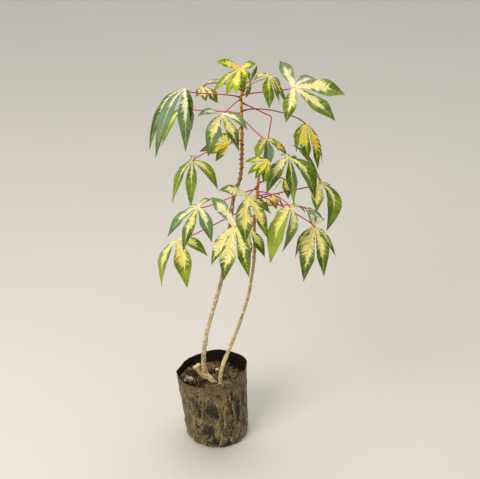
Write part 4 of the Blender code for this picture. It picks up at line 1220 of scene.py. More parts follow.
tall_bark = bark_finish(
    "tall_bark", low=0.15, high=0.86, stops=TALL_BARK_TONES,
    scar_low=(0.86, 0.77, 0.57), scar_high=(0.13, 0.018, 0.012), scar_turn=(0.55, 0.66))
short_bark = bark_finish(
    "short_bark", low=0.15, high=0.72, stops=SHORT_BARK_TONES,
    scar_low=(0.50, 0.38, 0.22), scar_high=(0.17, 0.035, 0.025), scar_turn=(0.42, 0.52))
finish_piece(tall_stem, ["tall_stem"], tall_bark, angle=60)
finish_piece(short_stem, ["short_stem"], short_bark, angle=60)

# %% [markdown]
# A cassava leaf is a hand of three to seven lobes that meet at one hub on a long stalk. A lobe is
# measured from the hub to its tip as seen from the front: across, down and toward the viewer.
# The list below is the plant's plan. A leaf's last values say how far the cream zone reaches from
# a lobe's midrib, as a share of its half width, how golden that zone is, and how light its green
# is. A lobe can have more or less cream than its leaf, and a painted grey sheen where it would
# face the sky.

# %% Leaf plan
@dataclass
class Lobe:
    """One finger of a leaf: its tip from the leaf's hub, and its width, in millimetres."""

    across: float
    down: float
    toward: float
    width: float
    bow: float = 0.0
    twist: float = 0.0
    lift: float = 0.0
    cream: float = 1.0
    # how strongly a painted grey sheen, standing in for the sky's reflection, covers the lobe
    bloom: float = 0.0


@dataclass
class Leaf:
    """One leaf: where its stalk leaves the stem, where its lobes meet, and its lobes."""

    name: str
    stem: str
    height: float
    hub: tuple
    lobes: list
    arch: float = 0.3
    rise: float = 0.04
    bend: tuple = None
    slot: str = "leaf"
    cream: float = 0.7
    gold: float = 0.2
    tone: float = 0.5


LEAVES = [
    Leaf("tall_tip_leaf", "tall", 863, (77, 42, 867), [
        Lobe(13, -34, 0, 10), Lobe(7, -24, 8, 10), Lobe(-6, -18, 12, 9), Lobe(-10, 32, -8, 14)],
        arch=0.0, slot="young_leaf", cream=0.3, gold=0.3, tone=0.4),
    Leaf("tall_leaf_01", "tall", 838, (-53, -20, 871), [
        Lobe(-40, 40, -75, 22, bloom=0.5), Lobe(-75, 115, -42, 26, -14, -45, cream=0.8, bloom=0.4),
        Lobe(-57, 136, 18, 34, -5, cream=0.5, bloom=0.95),
        Lobe(2, 125, 25, 33, 2, cream=1.1, bloom=0.75), Lobe(8, 76, 12, 20, 4, cream=0.2)],
        arch=0.4, rise=0.04, cream=0.5, gold=0.05, tone=0.3),
    Leaf("tall_leaf_02", "tall", 802, (-59, 60, 805), [
        Lobe(-50, 45, -55, 24, bloom=0.4), Lobe(-50, 80, -10, 26, bloom=0.2),
        Lobe(2, 80, 5, 26, bloom=0.3), Lobe(10, 40, -70, 22, bloom=0.3)],
        arch=0.35, cream=0.45, gold=0.4, tone=0.8),
    Leaf("tall_leaf_03", "tall", 852, (-21, 60, 849), [
        Lobe(34, -20, -20, 10), Lobe(-16, 6, -30, 14), Lobe(-15, 23, 5, 16),
        Lobe(6, 32, 15, 18, cream=1.3), Lobe(30, 34, 5, 24, cream=0.8)],
        arch=0.15, rise=0.14, cream=0.55, gold=0.15, tone=0.55),
    Leaf("tall_leaf_04", "tall", 856, (56, -5, 909), [
        Lobe(-48, -13, 10, 16), Lobe(-56, 46, -5, 17), Lobe(-28, 54, 8, 25, cream=0.7),
        Lobe(-9, 56, 40, 26, cream=1.3), Lobe(7, 50, 15, 22), Lobe(15, 26, 42, 15),
        Lobe(30, -7, 15, 17)], arch=0.14, slot="young_leaf", cream=0.6, gold=0.45, tone=0.6),
    Leaf("tall_leaf_05", "tall", 848, (112, -10, 894), [
        Lobe(-8, -9, -35, 12), Lobe(-31, 8, 0, 15, 0, 0, 6, cream=1.6),
        Lobe(0, 65, 18, 29, cream=0.7), Lobe(20, 52, 16, 15), Lobe(35, 55, -8, 17),
        Lobe(25, 10, -50, 16)],
        rise=0.14, cream=0.5, gold=0.5, tone=0.55),
    Leaf("tall_leaf_06", "tall", 843, (162, -20, 876), [
        Lobe(-18, 74, 35, 27, bloom=0.1), Lobe(80, 67, 10, 35, bloom=0.35),
        Lobe(101, 14, -5, 42, 0, 0, 4, bloom=0.25),
        Lobe(52, -18, -40, 27, 0, 0, 14, cream=0.8, bloom=0.95),
        Lobe(-27, -58, -30, 27, bloom=0.8)],
        arch=0.12, rise=0.02, cream=0.62, gold=0.1, tone=0.5),
    Leaf("tall_leaf_07", "tall", 808, (189, 20, 783), [
        Lobe(-17, 56, -16, 22, -10, cream=0.35), Lobe(6, 72, 14, 33, -8, cream=1.25),
        Lobe(26, 92, 2, 33, 7, cream=1.25), Lobe(39, 76, -40, 24, 6, cream=0.6),
        Lobe(34, 40, -60, 20)],
        arch=0.28, rise=0.15, cream=0.68, gold=0.6, tone=0.5),
    Leaf("tall_leaf_08", "tall", 834, (18, -60, 834), [
        Lobe(-44, 8, 40, 15, bloom=1.0), Lobe(-25, 84, 20, 30, cream=0.9, bloom=0.55),
        Lobe(35, 74, 20, 26, cream=1.15, bloom=0.35), Lobe(52, 32, 25, 24, cream=0.9, bloom=0.75)],
        cream=0.58, gold=0.3, tone=0.35),
    Leaf("tall_leaf_09", "tall", 776, (33, -30, 759), [
        Lobe(-17, -25, -20, 18), Lobe(-61, 13, -20, 20), Lobe(-41, 21, 10, 20),
        Lobe(-28, 34, -8, 16)],
        arch=0.15, slot="shaded_leaf", cream=0.7, gold=0.65, tone=0.6),
    Leaf("tall_leaf_10", "tall", 745, (-44, 10, 704), [
        Lobe(2, -12, -45, 14, bloom=0.7), Lobe(-35, 30, -60, 18, bloom=0.4),
        Lobe(-43, 87, -10, 25, -6, bloom=0.35), Lobe(-4, 98, 0, 25, bloom=0.15),
        Lobe(53, 60, 10, 26, 6, cream=1.3, bloom=0.1)], arch=0.35, cream=0.3, gold=0.2, tone=0.65),
    Leaf("tall_leaf_11", "tall", 792, (109, -40, 774), [
        Lobe(-24, 14, -20, 16, bloom=0.3), Lobe(-22, 42, 15, 26, bloom=0.1),
        Lobe(4, 57, 0, 25, cream=0.4, bloom=1.0), Lobe(20, 18, 18, 14, bloom=0.4)],
        rise=0.0, cream=0.4, gold=0.4, tone=0.7),
    Leaf("tall_leaf_12", "tall", 826, (113, 25, 747), [
        Lobe(-20, 30, -20, 18), Lobe(4, 40, -25, 18), Lobe(42, 37, 10, 22)],
        bend=(134, 30, 804), slot="shaded_leaf", cream=0.8, gold=0.55, tone=0.4),
    Leaf("short_leaf_01", "short", 706, (154, -45, 735), [
        Lobe(-14, -8, -30, 14, bloom=0.3), Lobe(-47, 74, 20, 33, cream=1.2, bloom=0.35),
        Lobe(9, 93, 15, 25, 0, 40, cream=0.5, bloom=0.1),
        Lobe(52, 84, 10, 48, 12, cream=0.9, bloom=0.05), Lobe(15, 5, -60, 18, bloom=0.2)],
        arch=0.35, cream=0.45, gold=0.15, tone=0.42),
    Leaf("short_leaf_02", "short", 697, (112, -90, 749), [
        Lobe(-48, 2, 0, 18), Lobe(-42, 27, 12, 17), Lobe(-28, 38, 34, 17), Lobe(-11, 45, 20, 18)],
        arch=0.15, slot="young_leaf", cream=0.62, gold=0.6, tone=0.35),
    Leaf("short_leaf_03", "short", 640, (222, -30, 671), [
        Lobe(-61, -80, 12, 15, 3, cream=0.3, bloom=0.1),
        Lobe(-11, 60, 35, 28, -6, cream=1.5, bloom=0.1),
        Lobe(11, 98, 0, 35, 40, 55, cream=0.4, bloom=0.25), Lobe(38, 30, -50, 22, bloom=0.2)],
        arch=0.3, rise=0.05, cream=0.62, gold=0.3, tone=0.6),
    Leaf("short_leaf_04", "short", 672, (71, -120, 686), [
        Lobe(-57, -11, 25, 24, bloom=0.7), Lobe(-5, 92, 20, 40, -8, bloom=0.3),
        Lobe(39, 84, 10, 29, bloom=0.1), Lobe(46, 34, -20, 21, cream=0.6, bloom=0.3)],
        arch=0.2, cream=0.82, gold=0.3, tone=0.5),
    Leaf("short_leaf_05", "short", 604, (45, -125, 621), [
        Lobe(-49, -59, -10, 26, cream=0.85, bloom=0.9),
        Lobe(-48, 77, -15, 27, -4, cream=1.2, bloom=0.3), Lobe(-23, 108, 10, 38, bloom=0.25),
        Lobe(28, 101, 20, 30, cream=0.7, bloom=0.05)], arch=0.2, cream=0.86, gold=0.15, tone=0.5),
    Leaf("short_leaf_06", "short", 665, (-30, -90, 646), [
        Lobe(27, -18, -30, 14, bloom=0.3), Lobe(-38, 14, -45, 20, bloom=0.6),
        Lobe(-61, 59, 10, 28, cream=0.8, bloom=0.75), Lobe(-29, 88, 20, 27, cream=1.2, bloom=0.35),
        Lobe(29, 70, 30, 27, cream=0.9, bloom=0.8)], rise=0.03, cream=0.58, gold=0.3, tone=0.4),
    Leaf("short_leaf_07", "short", 630, (-75, -70, 562), [
        Lobe(-26, 48, -60, 22, bloom=0.3), Lobe(-32, 98, 10, 30, -20, bloom=0.45),
        Lobe(21, 101, 15, 37, bloom=0.05), Lobe(64, 34, 36, 25, bloom=0.2)],
        arch=0.28, rise=0.0, cream=0.58, gold=0.35, tone=0.75),
    Leaf("short_leaf_08", "short", 658, (155, -100, 652), [
        Lobe(-39, 43, -30, 22, bloom=0.5), Lobe(-40, 113, 20, 38, -6, cream=0.8, bloom=0.2),
        Lobe(-15, 90, 0, 26, 24, cream=1.1, bloom=0.55), Lobe(35, 10, -50, 20, bloom=0.3)],
        rise=0.13, cream=0.55, gold=0.3, tone=1.0),
    Leaf("short_leaf_09", "short", 652, (209, -70, 592), [
        Lobe(-39, 64, -10, 17, -8, bloom=0.2), Lobe(-24, 113, 20, 38, bloom=0.35),
        Lobe(18, 102, 20, 33, 4, bloom=0.2), Lobe(44, 61, -5, 16, bloom=0.35),
        Lobe(24, -16, -60, 18, bloom=0.9), Lobe(-5, -28, -50, 18, bloom=0.9)],
        rise=0.03, cream=0.72, gold=0.3, tone=0.4),
    Leaf("short_leaf_10", "short", 678, (150, 20, 657), [
        Lobe(-22, 22, -20, 18), Lobe(6, 42, 28, 20), Lobe(20, 32, -8, 18), Lobe(28, 0, -45, 16)],
        slot="shaded_leaf", cream=0.65, gold=0.6, tone=0.5),
    Leaf("short_leaf_11", "short", 646, (122, 30, 612), [
        Lobe(-10, 25, -5, 18), Lobe(10, 28, 25, 18), Lobe(27, 20, -5, 18), Lobe(20, -5, -40, 14)],
        slot="shaded_leaf", cream=0.65, gold=0.5, tone=0.5),
    Leaf("short_leaf_12", "short", 590, (74, -75, 585), [
        Lobe(-25, 35, -30, 20), Lobe(-4, 70, -5, 22), Lobe(32, 54, 10, 22)],
        slot="shaded_leaf", cream=0.7, gold=0.2, tone=0.6),
    Leaf("short_leaf_13", "short", 624, (196, 0, 598), [
        Lobe(22, 46, 5, 20, bloom=0.5), Lobe(40, 26, -12, 22, bloom=0.4),
        Lobe(24, 20, -40, 20, bloom=0.8), Lobe(14, 6, -60, 16, bloom=0.5)],
        arch=0.25, cream=0.35, gold=0.3, tone=0.6),
]
print("leaves:", len(LEAVES), "lobes:", sum(len(leaf.lobes) for leaf in LEAVES))

# %% [markdown]
# Each lobe's midrib is a curve from the hub that rises a little and droops to its tip. The way a
# hub faces comes from the ways its lobes set out, and the lobes are put in turning order from the
# stalk, so that the open notch faces the stalk, as on the real leaf.

# %% Leaf measures
OUTER_NOTCH = 0.7
HUB_RADIUS = 0.006
HUB_SHARE = 0.12
ROOM_SHARE = 0.92
MIDRIB_MARKS = 16


def seen(across, down, toward):
    """An offset measured from the front, across, down and toward the viewer, in metres."""
    up = Vector((0, math.sin(LOOK_DOWN), math.cos(LOOK_DOWN)))
    forward = Vector((0, math.cos(LOOK_DOWN), -math.sin(LOOK_DOWN)))
    return (Vector((1, 0, 0)) * across - up * down - forward * toward) * MM


def lobe_frame(lobe, arch):
    """The three points of a lobe's midrib curve, from its hub: start, pull and tip."""
    tip = seen(lobe.across, lobe.down, lobe.toward)
    pull = tip * 0.5 + Vector((0, 0, 1)) * arch * tip.length + Vector((lobe.bow, 0, lobe.lift)) * MM
    return Vector(), pull, tip


def along(curve, share):
    """The place and the heading at a share of a midrib."""
    start, pull, tip = curve
    rest = 1 - share
    place = start * rest ** 2 + pull * 2 * rest * share + tip * share ** 2
    heading = (pull - start) * rest + (tip - pull) * share
    return place, heading.normalized()


def turning_axis(ways):
    axis = Vector()
    for first, second in zip(ways, ways[1:]):
        axis += first.cross(second)
    return axis.normalized()


def stem_marks(leaf):
    return TALL_STEM if leaf.stem == "tall" else SHORT_STEM


def stalk_pull(leaf):
    """The point that a stalk's arch is drawn toward, between its stem and its hub."""
    if leaf.bend:
        return Vector(leaf.bend) * MM
    axis, _ = at_height(stem_marks(leaf), leaf.height)
    chord = Vector(leaf.hub) * MM - axis
    return axis + chord * 0.5 + Vector((0, 0, 1)) * leaf.rise * 2 * chord.length


def leaf_layout(leaf):
    """The lobes in turning order from the stalk, their midribs, and the way that the hub faces."""
    curves = [lobe_frame(lobe, leaf.arch) for lobe in leaf.lobes]
    ways = [along(curve, 0.0)[1] for curve in curves]
    facing = turning_axis(ways)
    if facing.dot(seen(0, -1, 1)) < 0:
        facing.negate()
    back = stalk_pull(leaf) - Vector(leaf.hub) * MM
    back = (back - facing * back.dot(facing)).normalized()
    turns = [math.atan2(back.cross(way).dot(facing), back.dot(way)) % math.tau for way in ways]
    order = sorted(range(len(ways)), key=turns.__getitem__)
    ways = [ways[i] for i in order]
    return [leaf.lobes[i] for i in order], [curves[i] for i in order], ways, turning_axis(ways)


# %% [markdown]
# A lobe is narrow at the hub, broadest past the middle and drawn out to a tip. Where two lobes of
# one leaf lie close, they share the room between their midribs, so that they never cross. The
# blade folds up a little from its midrib and its edges wave. A flat grid is laid along each
# midrib: its first row bends round the hub, its last row closes in the tip.

# %% Blade shape
LOBE_FOLD = 0.16
LOBE_WAVE = 0.10
WAVE_TURNS = 8.5
RIPPLE = 0.035
RIPPLE_TURNS = 2.7
WIDEST_AT = 0.6
LOBE_BASE_WIDTH = 0.22
BASE_FILLING = 1.4
TIP_FILLING = 1.8
TIP_DRAW = 0.35
BLADE_THICKNESS = 0.0005
LOBE_COLUMNS = 12
LOBE_ROWS = 40
COLUMN_CROWDING = 1.25
ROW_CROWDING = 0.95
HUB_BLEND = 3
HUB_WELD = 0.00002
VEIN_SPACING = 0.0075
VEIN_STAGGER = 0.25
VEIN_SLANT = 0.75
QUILT_HEIGHT = 0.00035
QUILT_EDGE, QUILT_GAIN = 1.15, 3.0
QUILT_FULL_FROM = 0.006


def lobe_width(share):
    """A lobe's width along its length as a share of its widest."""
    if share <= WIDEST_AT:
        part = math.sin(math.pi / 2 * share / WIDEST_AT)
        return LOBE_BASE_WIDTH + (1 - LOBE_BASE_WIDTH) * part ** BASE_FILLING
    rest = (share - WIDEST_AT) / (1 - WIDEST_AT)
    return (1 - rest ** TIP_FILLING) * (1 - TIP_DRAW * rest)


def room_beside(place, lobe, neighbour):
    """How wide a lobe can be at a place on its midrib before it would meet the lobe beside it."""
    if neighbour is None:
        return math.inf
    other, marks = neighbour
    starts = marks[:-1]
    runs = marks[1:] - starts
    from_start = np.array(place) - starts
    share = np.clip((from_start * runs).sum(axis=1) / (runs ** 2).sum(axis=1), 0, 1)
    gap = np.linalg.norm(from_start - runs * share[:, None], axis=1).min()
    return gap * ROOM_SHARE * lobe.width / (lobe.width + other.width)


def notch_points(curves, ways, sides):
    """Offsets from the hub to the notches between the lobes, and to the two outer ones."""
    shortest = min(tip.length for _, _, tip in curves)
    reach = min(HUB_RADIUS, HUB_SHARE * shortest)
    first = (ways[0] - sides[0] * OUTER_NOTCH).normalized() * reach * OUTER_NOTCH
    last = (ways[-1] + sides[-1] * OUTER_NOTCH).normalized() * reach * OUTER_NOTCH
    between = [(one + other).normalized() * reach for one, other in zip(ways, ways[1:])]
    return [first] + between + [last], reach


def lobe_row(lobe, curve, side, phase, share, beside):
    """The midrib, both edges and the upward way at a share of a lobe, from the hub."""
    place, heading = along(curve, share)
    across = (side - heading * side.dot(heading)).normalized()
    across = Matrix.Rotation(math.radians(lobe.twist) * share, 3, heading) @ across
    up = heading.cross(across)
    widest = lobe.width * MM / 2 * lobe_width(share)
    edges = []
    halves = []
    for way, start, neighbour in ((-1, 0.0, beside[0]), (1, math.pi / 2, beside[1])):
        half = min(widest, room_beside(place, lobe, neighbour))
        wave = LOBE_WAVE * math.sin(WAVE_TURNS * share + phase + start)
        wave += RIPPLE * math.sin(WAVE_TURNS * RIPPLE_TURNS * share + phase * 2 + start * 3)
        edges.append(place + across * way * half + up * half * (LOBE_FOLD + wave))
        halves.append(half)
    return place, edges, up, halves


def make_lobe(leaf, hub, lobe, curve, side, phase, beside, notches, reach, seed):
    """One lobe as a grid laid along its midrib, with its pattern's coordinates stored on it."""
    sheet, across, up_share = add_grid(LOBE_COLUMNS, LOBE_ROWS)
    column = across * 2 - 1
    column = np.sign(column) * np.abs(column) ** COLUMN_CROWDING
    rows = np.round(up_share * LOBE_ROWS).astype(int)
    shares = [(row / LOBE_ROWS) ** ROW_CROWDING for row in range(LOBE_ROWS + 1)]
    length = curve[2].length
    points = np.zeros((len(rows), 3))
    vein_root = np.zeros(len(rows))
    for row, share in enumerate(shares):
        place, edges, up, halves = lobe_row(lobe, curve, side, phase, share, beside)
        near = max(0.0, 1 - share * length / (HUB_BLEND * reach)) ** 2
        edges = [edge + notch * near for edge, notch in zip(edges, notches)]
        for i in np.nonzero(rows == row)[0]:
            out = abs(column[i])
            which = 0 if column[i] < 0 else 1
            root = share * length - out * halves[which] * VEIN_SLANT
            wave = math.cos(math.tau * (root / VEIN_SPACING + VEIN_STAGGER * which))
            quilt = wave * QUILT_HEIGHT * out * (QUILT_EDGE - out) * QUILT_GAIN
            quilt *= min(1.0, halves[which] / QUILT_FULL_FROM)
            points[i] = hub + place.lerp(edges[which], out) - up * quilt * (1 - near)
            vein_root[i] = root
    put_points(sheet, points)
    marks = {"lobe_across": column, "lobe_along": np.array(shares)[rows], "vein_root": vein_root,
             "vein_share": vein_root / length, "lobe_cream": leaf.cream * lobe.cream,
             "lobe_gold": leaf.gold, "lobe_tone": leaf.tone, "lobe_bloom": lobe.bloom,
             "lobe_seed": seed}
    for name, values in marks.items():
        paint(sheet, name, np.broadcast_to(values, rows.shape))
    return sheet


def make_blade(leaf):
    """A leaf's blade: its lobes joined at the hub and given a thickness."""
    rng = random.Random(leaf.name)
    lobes, curves, ways, facing = leaf_layout(leaf)
    hub = Vector(leaf.hub) * MM
    sides = [facing.cross(way).normalized() for way in ways]
    notches, reach = notch_points(curves, ways, sides)
    marks = [np.array([along(curve, k / MIDRIB_MARKS)[0] for k in range(MIDRIB_MARKS + 1)])
             for curve in curves]
    fingers = [None] + list(zip(lobes, marks)) + [None]
    sheets = []
    for i, (lobe, curve, side) in enumerate(zip(lobes, curves, sides)):
        phase = rng.uniform(0, math.tau)
        beside = (fingers[i], fingers[i + 2])
        sheets.append(make_lobe(leaf, hub, lobe, curve, side, phase, beside, notches[i:i + 2],
                                reach, seed=phase * 3 + i))
    blade = join(sheets, leaf.name + "_blade_veined")
    merge_doubles(blade, HUB_WELD)
    near = min(blade.data.polygons, key=lambda face: (face.center - hub).length)
    if near.normal.dot(facing) < 0:
        blade.data.flip_normals()
    upper = len(blade.data.vertices)
    apply(blade, "SOLIDIFY", thickness=BLADE_THICKNESS, offset=0.0, use_even_offset=False)
    paint(blade, "underside", np.arange(len(blade.data.vertices)) >= upper)
    return blade


# %% [markdown]
# The blade's finish follows each lobe. The stored coordinates say how far a point lies from the
# midrib and where its side vein leaves the midrib. Cream tissue spreads from the midrib out along
# the veins. Each streak between two veins has a random reach, longest on its tip side, which gives
# the cream its torn, flame like edge. Green slits cut into it and cream flecks stray past it.

# %% Blade finish
PAINTED_SHEEN_ON_GREEN = (0.160, 0.265, 0.180)
PAINTED_SHEEN_ON_CREAM = (0.86, 0.89, 0.76)
CREAMS = [(0.0, (0.92, 0.86, 0.46)), (0.3, (0.92, 0.79, 0.23)), (0.65, (0.90, 0.68, 0.04)),
          (1.0, (0.88, 0.47, 0.010))]
GREENS = [(0.0, (0.022, 0.060, 0.001)), (0.5, (0.100, 0.165, 0.002)), (1.0, (0.290, 0.370, 0.012))]
YOUNG_GREENS = [(0.0, (0.042, 0.100, 0.001)), (0.5, (0.165, 0.265, 0.001)),
                (1.0, (0.380, 0.480, 0.004))]
# Painted shade: leaves in the shaded_leaf slot get a darker copy of the greens
SHADED_GREENS = [(0.0, (0.016, 0.040, 0.001)), (0.5, (0.075, 0.130, 0.001)),
                 (1.0, (0.190, 0.250, 0.003))]
VEIN_TONE = (0.66, 0.68, 0.28)
MOTTLE_TONE = (0.05, 0.12, 0.01)
UNDERSIDE_TONE = (0.30, 0.38, 0.22)
BROAD_STREAKS = {"per_metre": 120.0, "shift": 0.4}
FINE_STREAKS = {"per_metre": 390.0, "shift": 0.7}
STRAY_FLECKS = {"per_metre": 560.0, "shift": 1.3}


def vein_streaks(finish, root, side, seed, per_metre, shift):
    """For each streak between side veins: a steady random number, and the place across it."""
    phase = root * per_metre + seed * 7.0 + side * shift
    number = phase.floor()
    vector = finish.add("ShaderNodeCombineXYZ", {}, {0: number, 1: side * 3.0 + shift, 2: seed})
    chance = finish.add("ShaderNodeTexWhiteNoise", {}, {"Vector": vector}, output="Value")
    return chance, phase - number


def cream_zone(finish, across, along_share, root, side, seed, patch):
    """Where the cream lies, from 0 to 1, how far it reaches, and the fine streaks' numbers."""
    root_share = finish.attribute("vein_share")
    reach = finish.attribute("lobe_cream")
    broad, broad_part = vein_streaks(finish, root, side, seed, **BROAD_STREAKS)
    fine, fine_part = vein_streaks(finish, root, side, seed, **FINE_STREAKS)
    stray, stray_part = vein_streaks(finish, root, side, seed, **STRAY_FLECKS)
    half = finish.add("ShaderNodeCombineXYZ", {}, {0: side, 1: seed, 2: 5.0})
    half = finish.add("ShaderNodeTexWhiteNoise", {}, {"Vector": half}, output="Value")
    tooth = broad * (0.5 + broad_part * 0.7) * 0.75 + fine * (0.4 + fine_part * 0.9) * 0.5
    fade = 1 - (root_share + (broad - 0.5) * 0.22 - reach * 0.35).between(0.18, 0.56)
    base = 1 - along_share.between(0.02, 0.30)
    limit = reach * (0.7 + half * 0.5) * fade * (0.18 + tooth * 1.45 + patch * 0.3)
    limit = limit + base * reach * 0.8
    cream = 1 - across.between(limit - 0.025, limit + 0.025)
    slit = fine.between(0.72, 0.74) * fine_part.between(0.1, 0.2)
    slit = slit * (1 - fine_part.between(0.5, 0.65))
    cream = cream * (1 - slit * across.between(0.10, 0.16) * along_share.between(0.2, 0.35))
    fleck = stray.between(0.86, 0.88) * stray_part.between(0.2, 0.3)
    fleck = fleck * (1 - stray_part.between(0.5, 0.6))
    fleck = fleck * (1 - across.between(limit + 0.12, limit + 0.30)) * fade
    return (cream + fleck).clamped(), limit, fine


def blade_finish(name, greens, lime, pales):
    finish = Finish(name, Specular_IOR_Level=0.16, Subsurface_Weight=0.06, Subsurface_Scale=0.0015)
    place = finish.place()
    side_share = finish.attribute("lobe_across")
    across = abs(side_share)
    side = side_share.maths("SIGN", side_share)
    along_share = finish.attribute("lobe_along")
    root = finish.attribute("vein_root")
    seed = finish.attribute("lobe_seed")
    gold = finish.attribute("lobe_gold")
    under = finish.attribute("underside")
    patch = finish.noise(place, 120.0, 3.0)
    mottle = finish.noise(place, 420.0, 2.0)
    cream, limit, fine = cream_zone(finish, across, along_share, root, side, seed, patch)

    lime_limit = limit + 0.04 + fine * 0.26
    pale_green = (1 - across.between(lime_limit - 0.04, lime_limit + 0.06)) * fine.between(0.2, 0.8)
    # Painted sheen: a grey-green tint on the green and a whiter cream where the lobe would reflect
    # the sky, fading toward the tip
    bloom = finish.attribute("lobe_bloom") ** 1.5 * (0.8 + patch * 0.4)
    bloom = (bloom * (1 - (along_share + (patch - 0.5) * 0.4).between(0.60, 0.95) * 0.75)).clamped()
    tone = finish.noise(place, 32.0, 3.0).between(0.36, 0.64) * 0.5
    tone = tone + finish.attribute("lobe_tone") - 0.25
    green = finish.ramp((tone + (fine - 0.5) * 0.35).clamped(), greens)
    green = finish.blend(pale_green * 0.6, green, lime)
    green = finish.blend(bloom * 0.85, green, PAINTED_SHEEN_ON_GREEN)
    core = 1 - across / (limit + 0.15)
    warm = (gold * (0.25 + core * 0.95) + (patch - 0.5) * 0.3 + along_share * 0.12).clamped()
    pale = finish.blend(bloom * 0.55, finish.ramp(warm, pales), PAINTED_SHEEN_ON_CREAM)
    colour = finish.blend(cream, green, pale)

    vein_part = root / VEIN_SPACING + 0.5 - side * VEIN_STAGGER
    side_vein = 1 - abs(vein_part - vein_part.floor() - 0.5).between(0.0, 0.10)
    side_vein = side_vein * (1 - across.between(0.75, 1.0))
    midrib = 1 - across.between(0.015, 0.11 - along_share * 0.04)
    lines = (midrib * 0.55 + side_vein * 0.13).clamped()
    colour = finish.blend(lines, colour, VEIN_TONE)
    colour = finish.blend(mottle.between(0.5, 0.72) * 0.16, colour, MOTTLE_TONE)
    below = finish.blend(0.5, colour, UNDERSIDE_TONE)
    finish.set("Base Color", finish.blend(under, colour, below))
    finish.set("Roughness", 0.33 + mottle * 0.10 + under * 0.25)
    finish.bump((mottle * 0.2 - side_vein * 0.5 - midrib * 0.8) * (1 - under * 2), 0.0006, 0.8)
    return finish


BLADE_FINISHES = {
    slot: blade_finish("variegated_" + slot, greens, lime, CREAMS)
    for slot, greens, lime in (("leaf", GREENS, (0.20, 0.36, 0.05)),
                               ("young_leaf", YOUNG_GREENS, (0.34, 0.52, 0.03)),
                               ("shaded_leaf", SHADED_GREENS, (0.25, 0.36, 0.03)))
}

for leaf in LEAVES:
    finish_piece(make_blade(leaf), [leaf.name + "_blade"], BLADE_FINISHES[leaf.slot],
                 angle=75)

# %% [markdown]
# Stalks are smooth, round and dark pink. Each leaves the stem with a swollen foot, arches out and
# turns in to the hub from below. A curve of four control points gives the arch, and the tube sinks
# a little into the bark and the hub, where the real one grows.

# %% Stalk shape
STALK_RADIUS = 0.00135
STALK_SLIM = 0.92
FOOT_SWELLS = ((0.75, 0.05), (0.12, 0.2))
HEAD_SWELL, HEAD_REACH = 0.35, 0.04
STALK_STEP = 0.004
FEWEST_STEPS = 10
GRAIN_STEP = 4
START_SHARE = 0.6
END_SINK = 0.3
LEAVING_SHARE = 0.6
KINK_PLACE = (120.5, 29, 796)
KINK_ROUNDING = 0.006
KINK_PULL = 0.3
KINK_STEPS = 14
ARRIVAL_TURN = 0.7
ARRIVAL_HANDLE = 0.02
ARRIVAL_SHARE = 0.3
UNDERSIDE_LIMIT = -0.15


def cubic(points, share):
    """A place on the smooth curve that four control points give."""
    a, b, c, d = points
    rest = 1 - share
    return a * rest ** 3 + b * 3 * rest ** 2 * share + c * 3 * rest * share ** 2 + d * share ** 3


def stalk_path(leaf, facing):
    """From inside the stem's bark, arching to the leaf's hub from the side that it comes from."""
    marks = stem_marks(leaf)
    axis, stem_radius = at_height(marks, leaf.height)
    above, _ = at_height(marks, leaf.height + GRAIN_STEP)
    grain = (above - axis).normalized()
    hub = Vector(leaf.hub) * MM
    chord = hub - axis
    out = (chord - grain * chord.dot(grain)).normalized()
    pull = stalk_pull(leaf)
    start = axis + out * stem_radius * START_SHARE
    arriving = (hub - pull).normalized()
    side = 1 if arriving.dot(facing) > UNDERSIDE_LIMIT else -1
    arriving = (arriving + facing * side * ARRIVAL_TURN).normalized()
    end = hub - facing * side * STALK_RADIUS * END_SINK
    if leaf.bend:
        return kinked_path(start, Vector(KINK_PLACE) * MM, end)
    handle = min(ARRIVAL_HANDLE, chord.length * ARRIVAL_SHARE)
    controls = (start, start + (pull - start) * LEAVING_SHARE, end - arriving * handle, end)
    count = max(FEWEST_STEPS, round(chord.length / STALK_STEP))
    return [cubic(controls, k / count) for k in range(count + 1)]


def kinked_path(start, corner, end):
    """Two nearly straight runs that meet in a small rounded corner, as in a stalk once broken."""
    before, after = (start - corner).normalized(), (end - corner).normalized()
    rounded = (corner + before * KINK_ROUNDING, corner + before * KINK_ROUNDING * KINK_PULL,
               corner + after * KINK_ROUNDING * KINK_PULL, corner + after * KINK_ROUNDING)
    first = [start.lerp(rounded[0], k / KINK_STEPS) for k in range(KINK_STEPS)]
    middle = [cubic(rounded, k / KINK_STEPS) for k in range(KINK_STEPS)]
    last = [rounded[3].lerp(end, k / KINK_STEPS) for k in range(KINK_STEPS + 1)]
    return first + middle + last


def stalk_radius(share):
    """Swollen at the foot, slim along the middle and a little thicker under the hub."""
    foot = sum(more * math.exp(-(share / reach) ** 2) for more, reach in FOOT_SWELLS)
    head = HEAD_SWELL * math.exp(-((1 - share) / HEAD_REACH) ** 2)
    return STALK_RADIUS * (STALK_SLIM + foot + head)


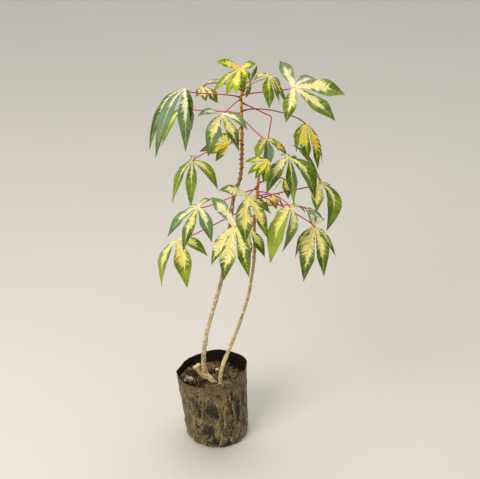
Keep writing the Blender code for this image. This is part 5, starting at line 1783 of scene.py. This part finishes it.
def make_stalk(leaf):
    _, _, _, facing = leaf_layout(leaf)
    path = stalk_path(leaf, facing)
    last = len(path) - 1
    radii = [stalk_radius(k / last) for k in range(last + 1)]
    stalk = add_tube(leaf.name + "_stalk_round", path, radii, roundness=3)
    points = points_of(stalk)
    marks = np.array([tuple(p) for p in path])
    nearest = np.linalg.norm(points[:, None] - marks[None], axis=2).argmin(axis=1)
    paint(stalk, "stalk_share", nearest / last)
    return stalk


# %% [markdown]
# Most stalks are pink, a few old or shaded ones are dark red, and one is yellow. The colour turns
# darker at the foot and paler under the hub, which each point's stored share of the length gives.

# %% Stalk finish
def stalk_finish(name, foot, middle, head):
    finish = Finish(name, Specular_IOR_Level=0.5, Coat_Roughness=0.3)
    share = finish.attribute("stalk_share")
    patch = finish.noise(finish.place(), 90.0, 3.0)
    fleck = finish.noise(finish.place(), 520.0, 2.0)
    stops = [(0.0, foot), (0.35, middle), (0.9, middle), (1.0, head)]
    colour = finish.ramp((share + (patch - 0.5) * 0.25).clamped(), stops)
    finish.set("Base Color", finish.blend(fleck.between(0.5, 0.7) * 0.25, colour, foot))
    finish.set("Roughness", 0.36 + patch * 0.16)
    finish.bump(fleck * 0.5 + patch, 0.0003, 0.5)
    return finish


PINK = stalk_finish("pink_stalk", foot=(0.34, 0.020, 0.035), middle=(0.62, 0.040, 0.100),
                    head=(0.62, 0.17, 0.15))
DARK = stalk_finish("dark_red_stalk", foot=(0.13, 0.014, 0.018), middle=(0.22, 0.022, 0.035),
                    head=(0.34, 0.07, 0.05))
YELLOW = stalk_finish("yellow_stalk", foot=(0.50, 0.15, 0.05), middle=(0.70, 0.45, 0.05),
                      head=(0.74, 0.62, 0.12))
STALK_FINISHES = {"tall_leaf_05": YELLOW, "tall_leaf_07": DARK, "short_leaf_03": DARK,
                  "tall_leaf_03": DARK, "short_leaf_10": DARK, "short_leaf_11": DARK}

for leaf in LEAVES:
    stalk_colour = STALK_FINISHES.get(leaf.name, PINK)
    finish_piece(make_stalk(leaf), [leaf.name + "_stalk"], stalk_colour, angle=60)
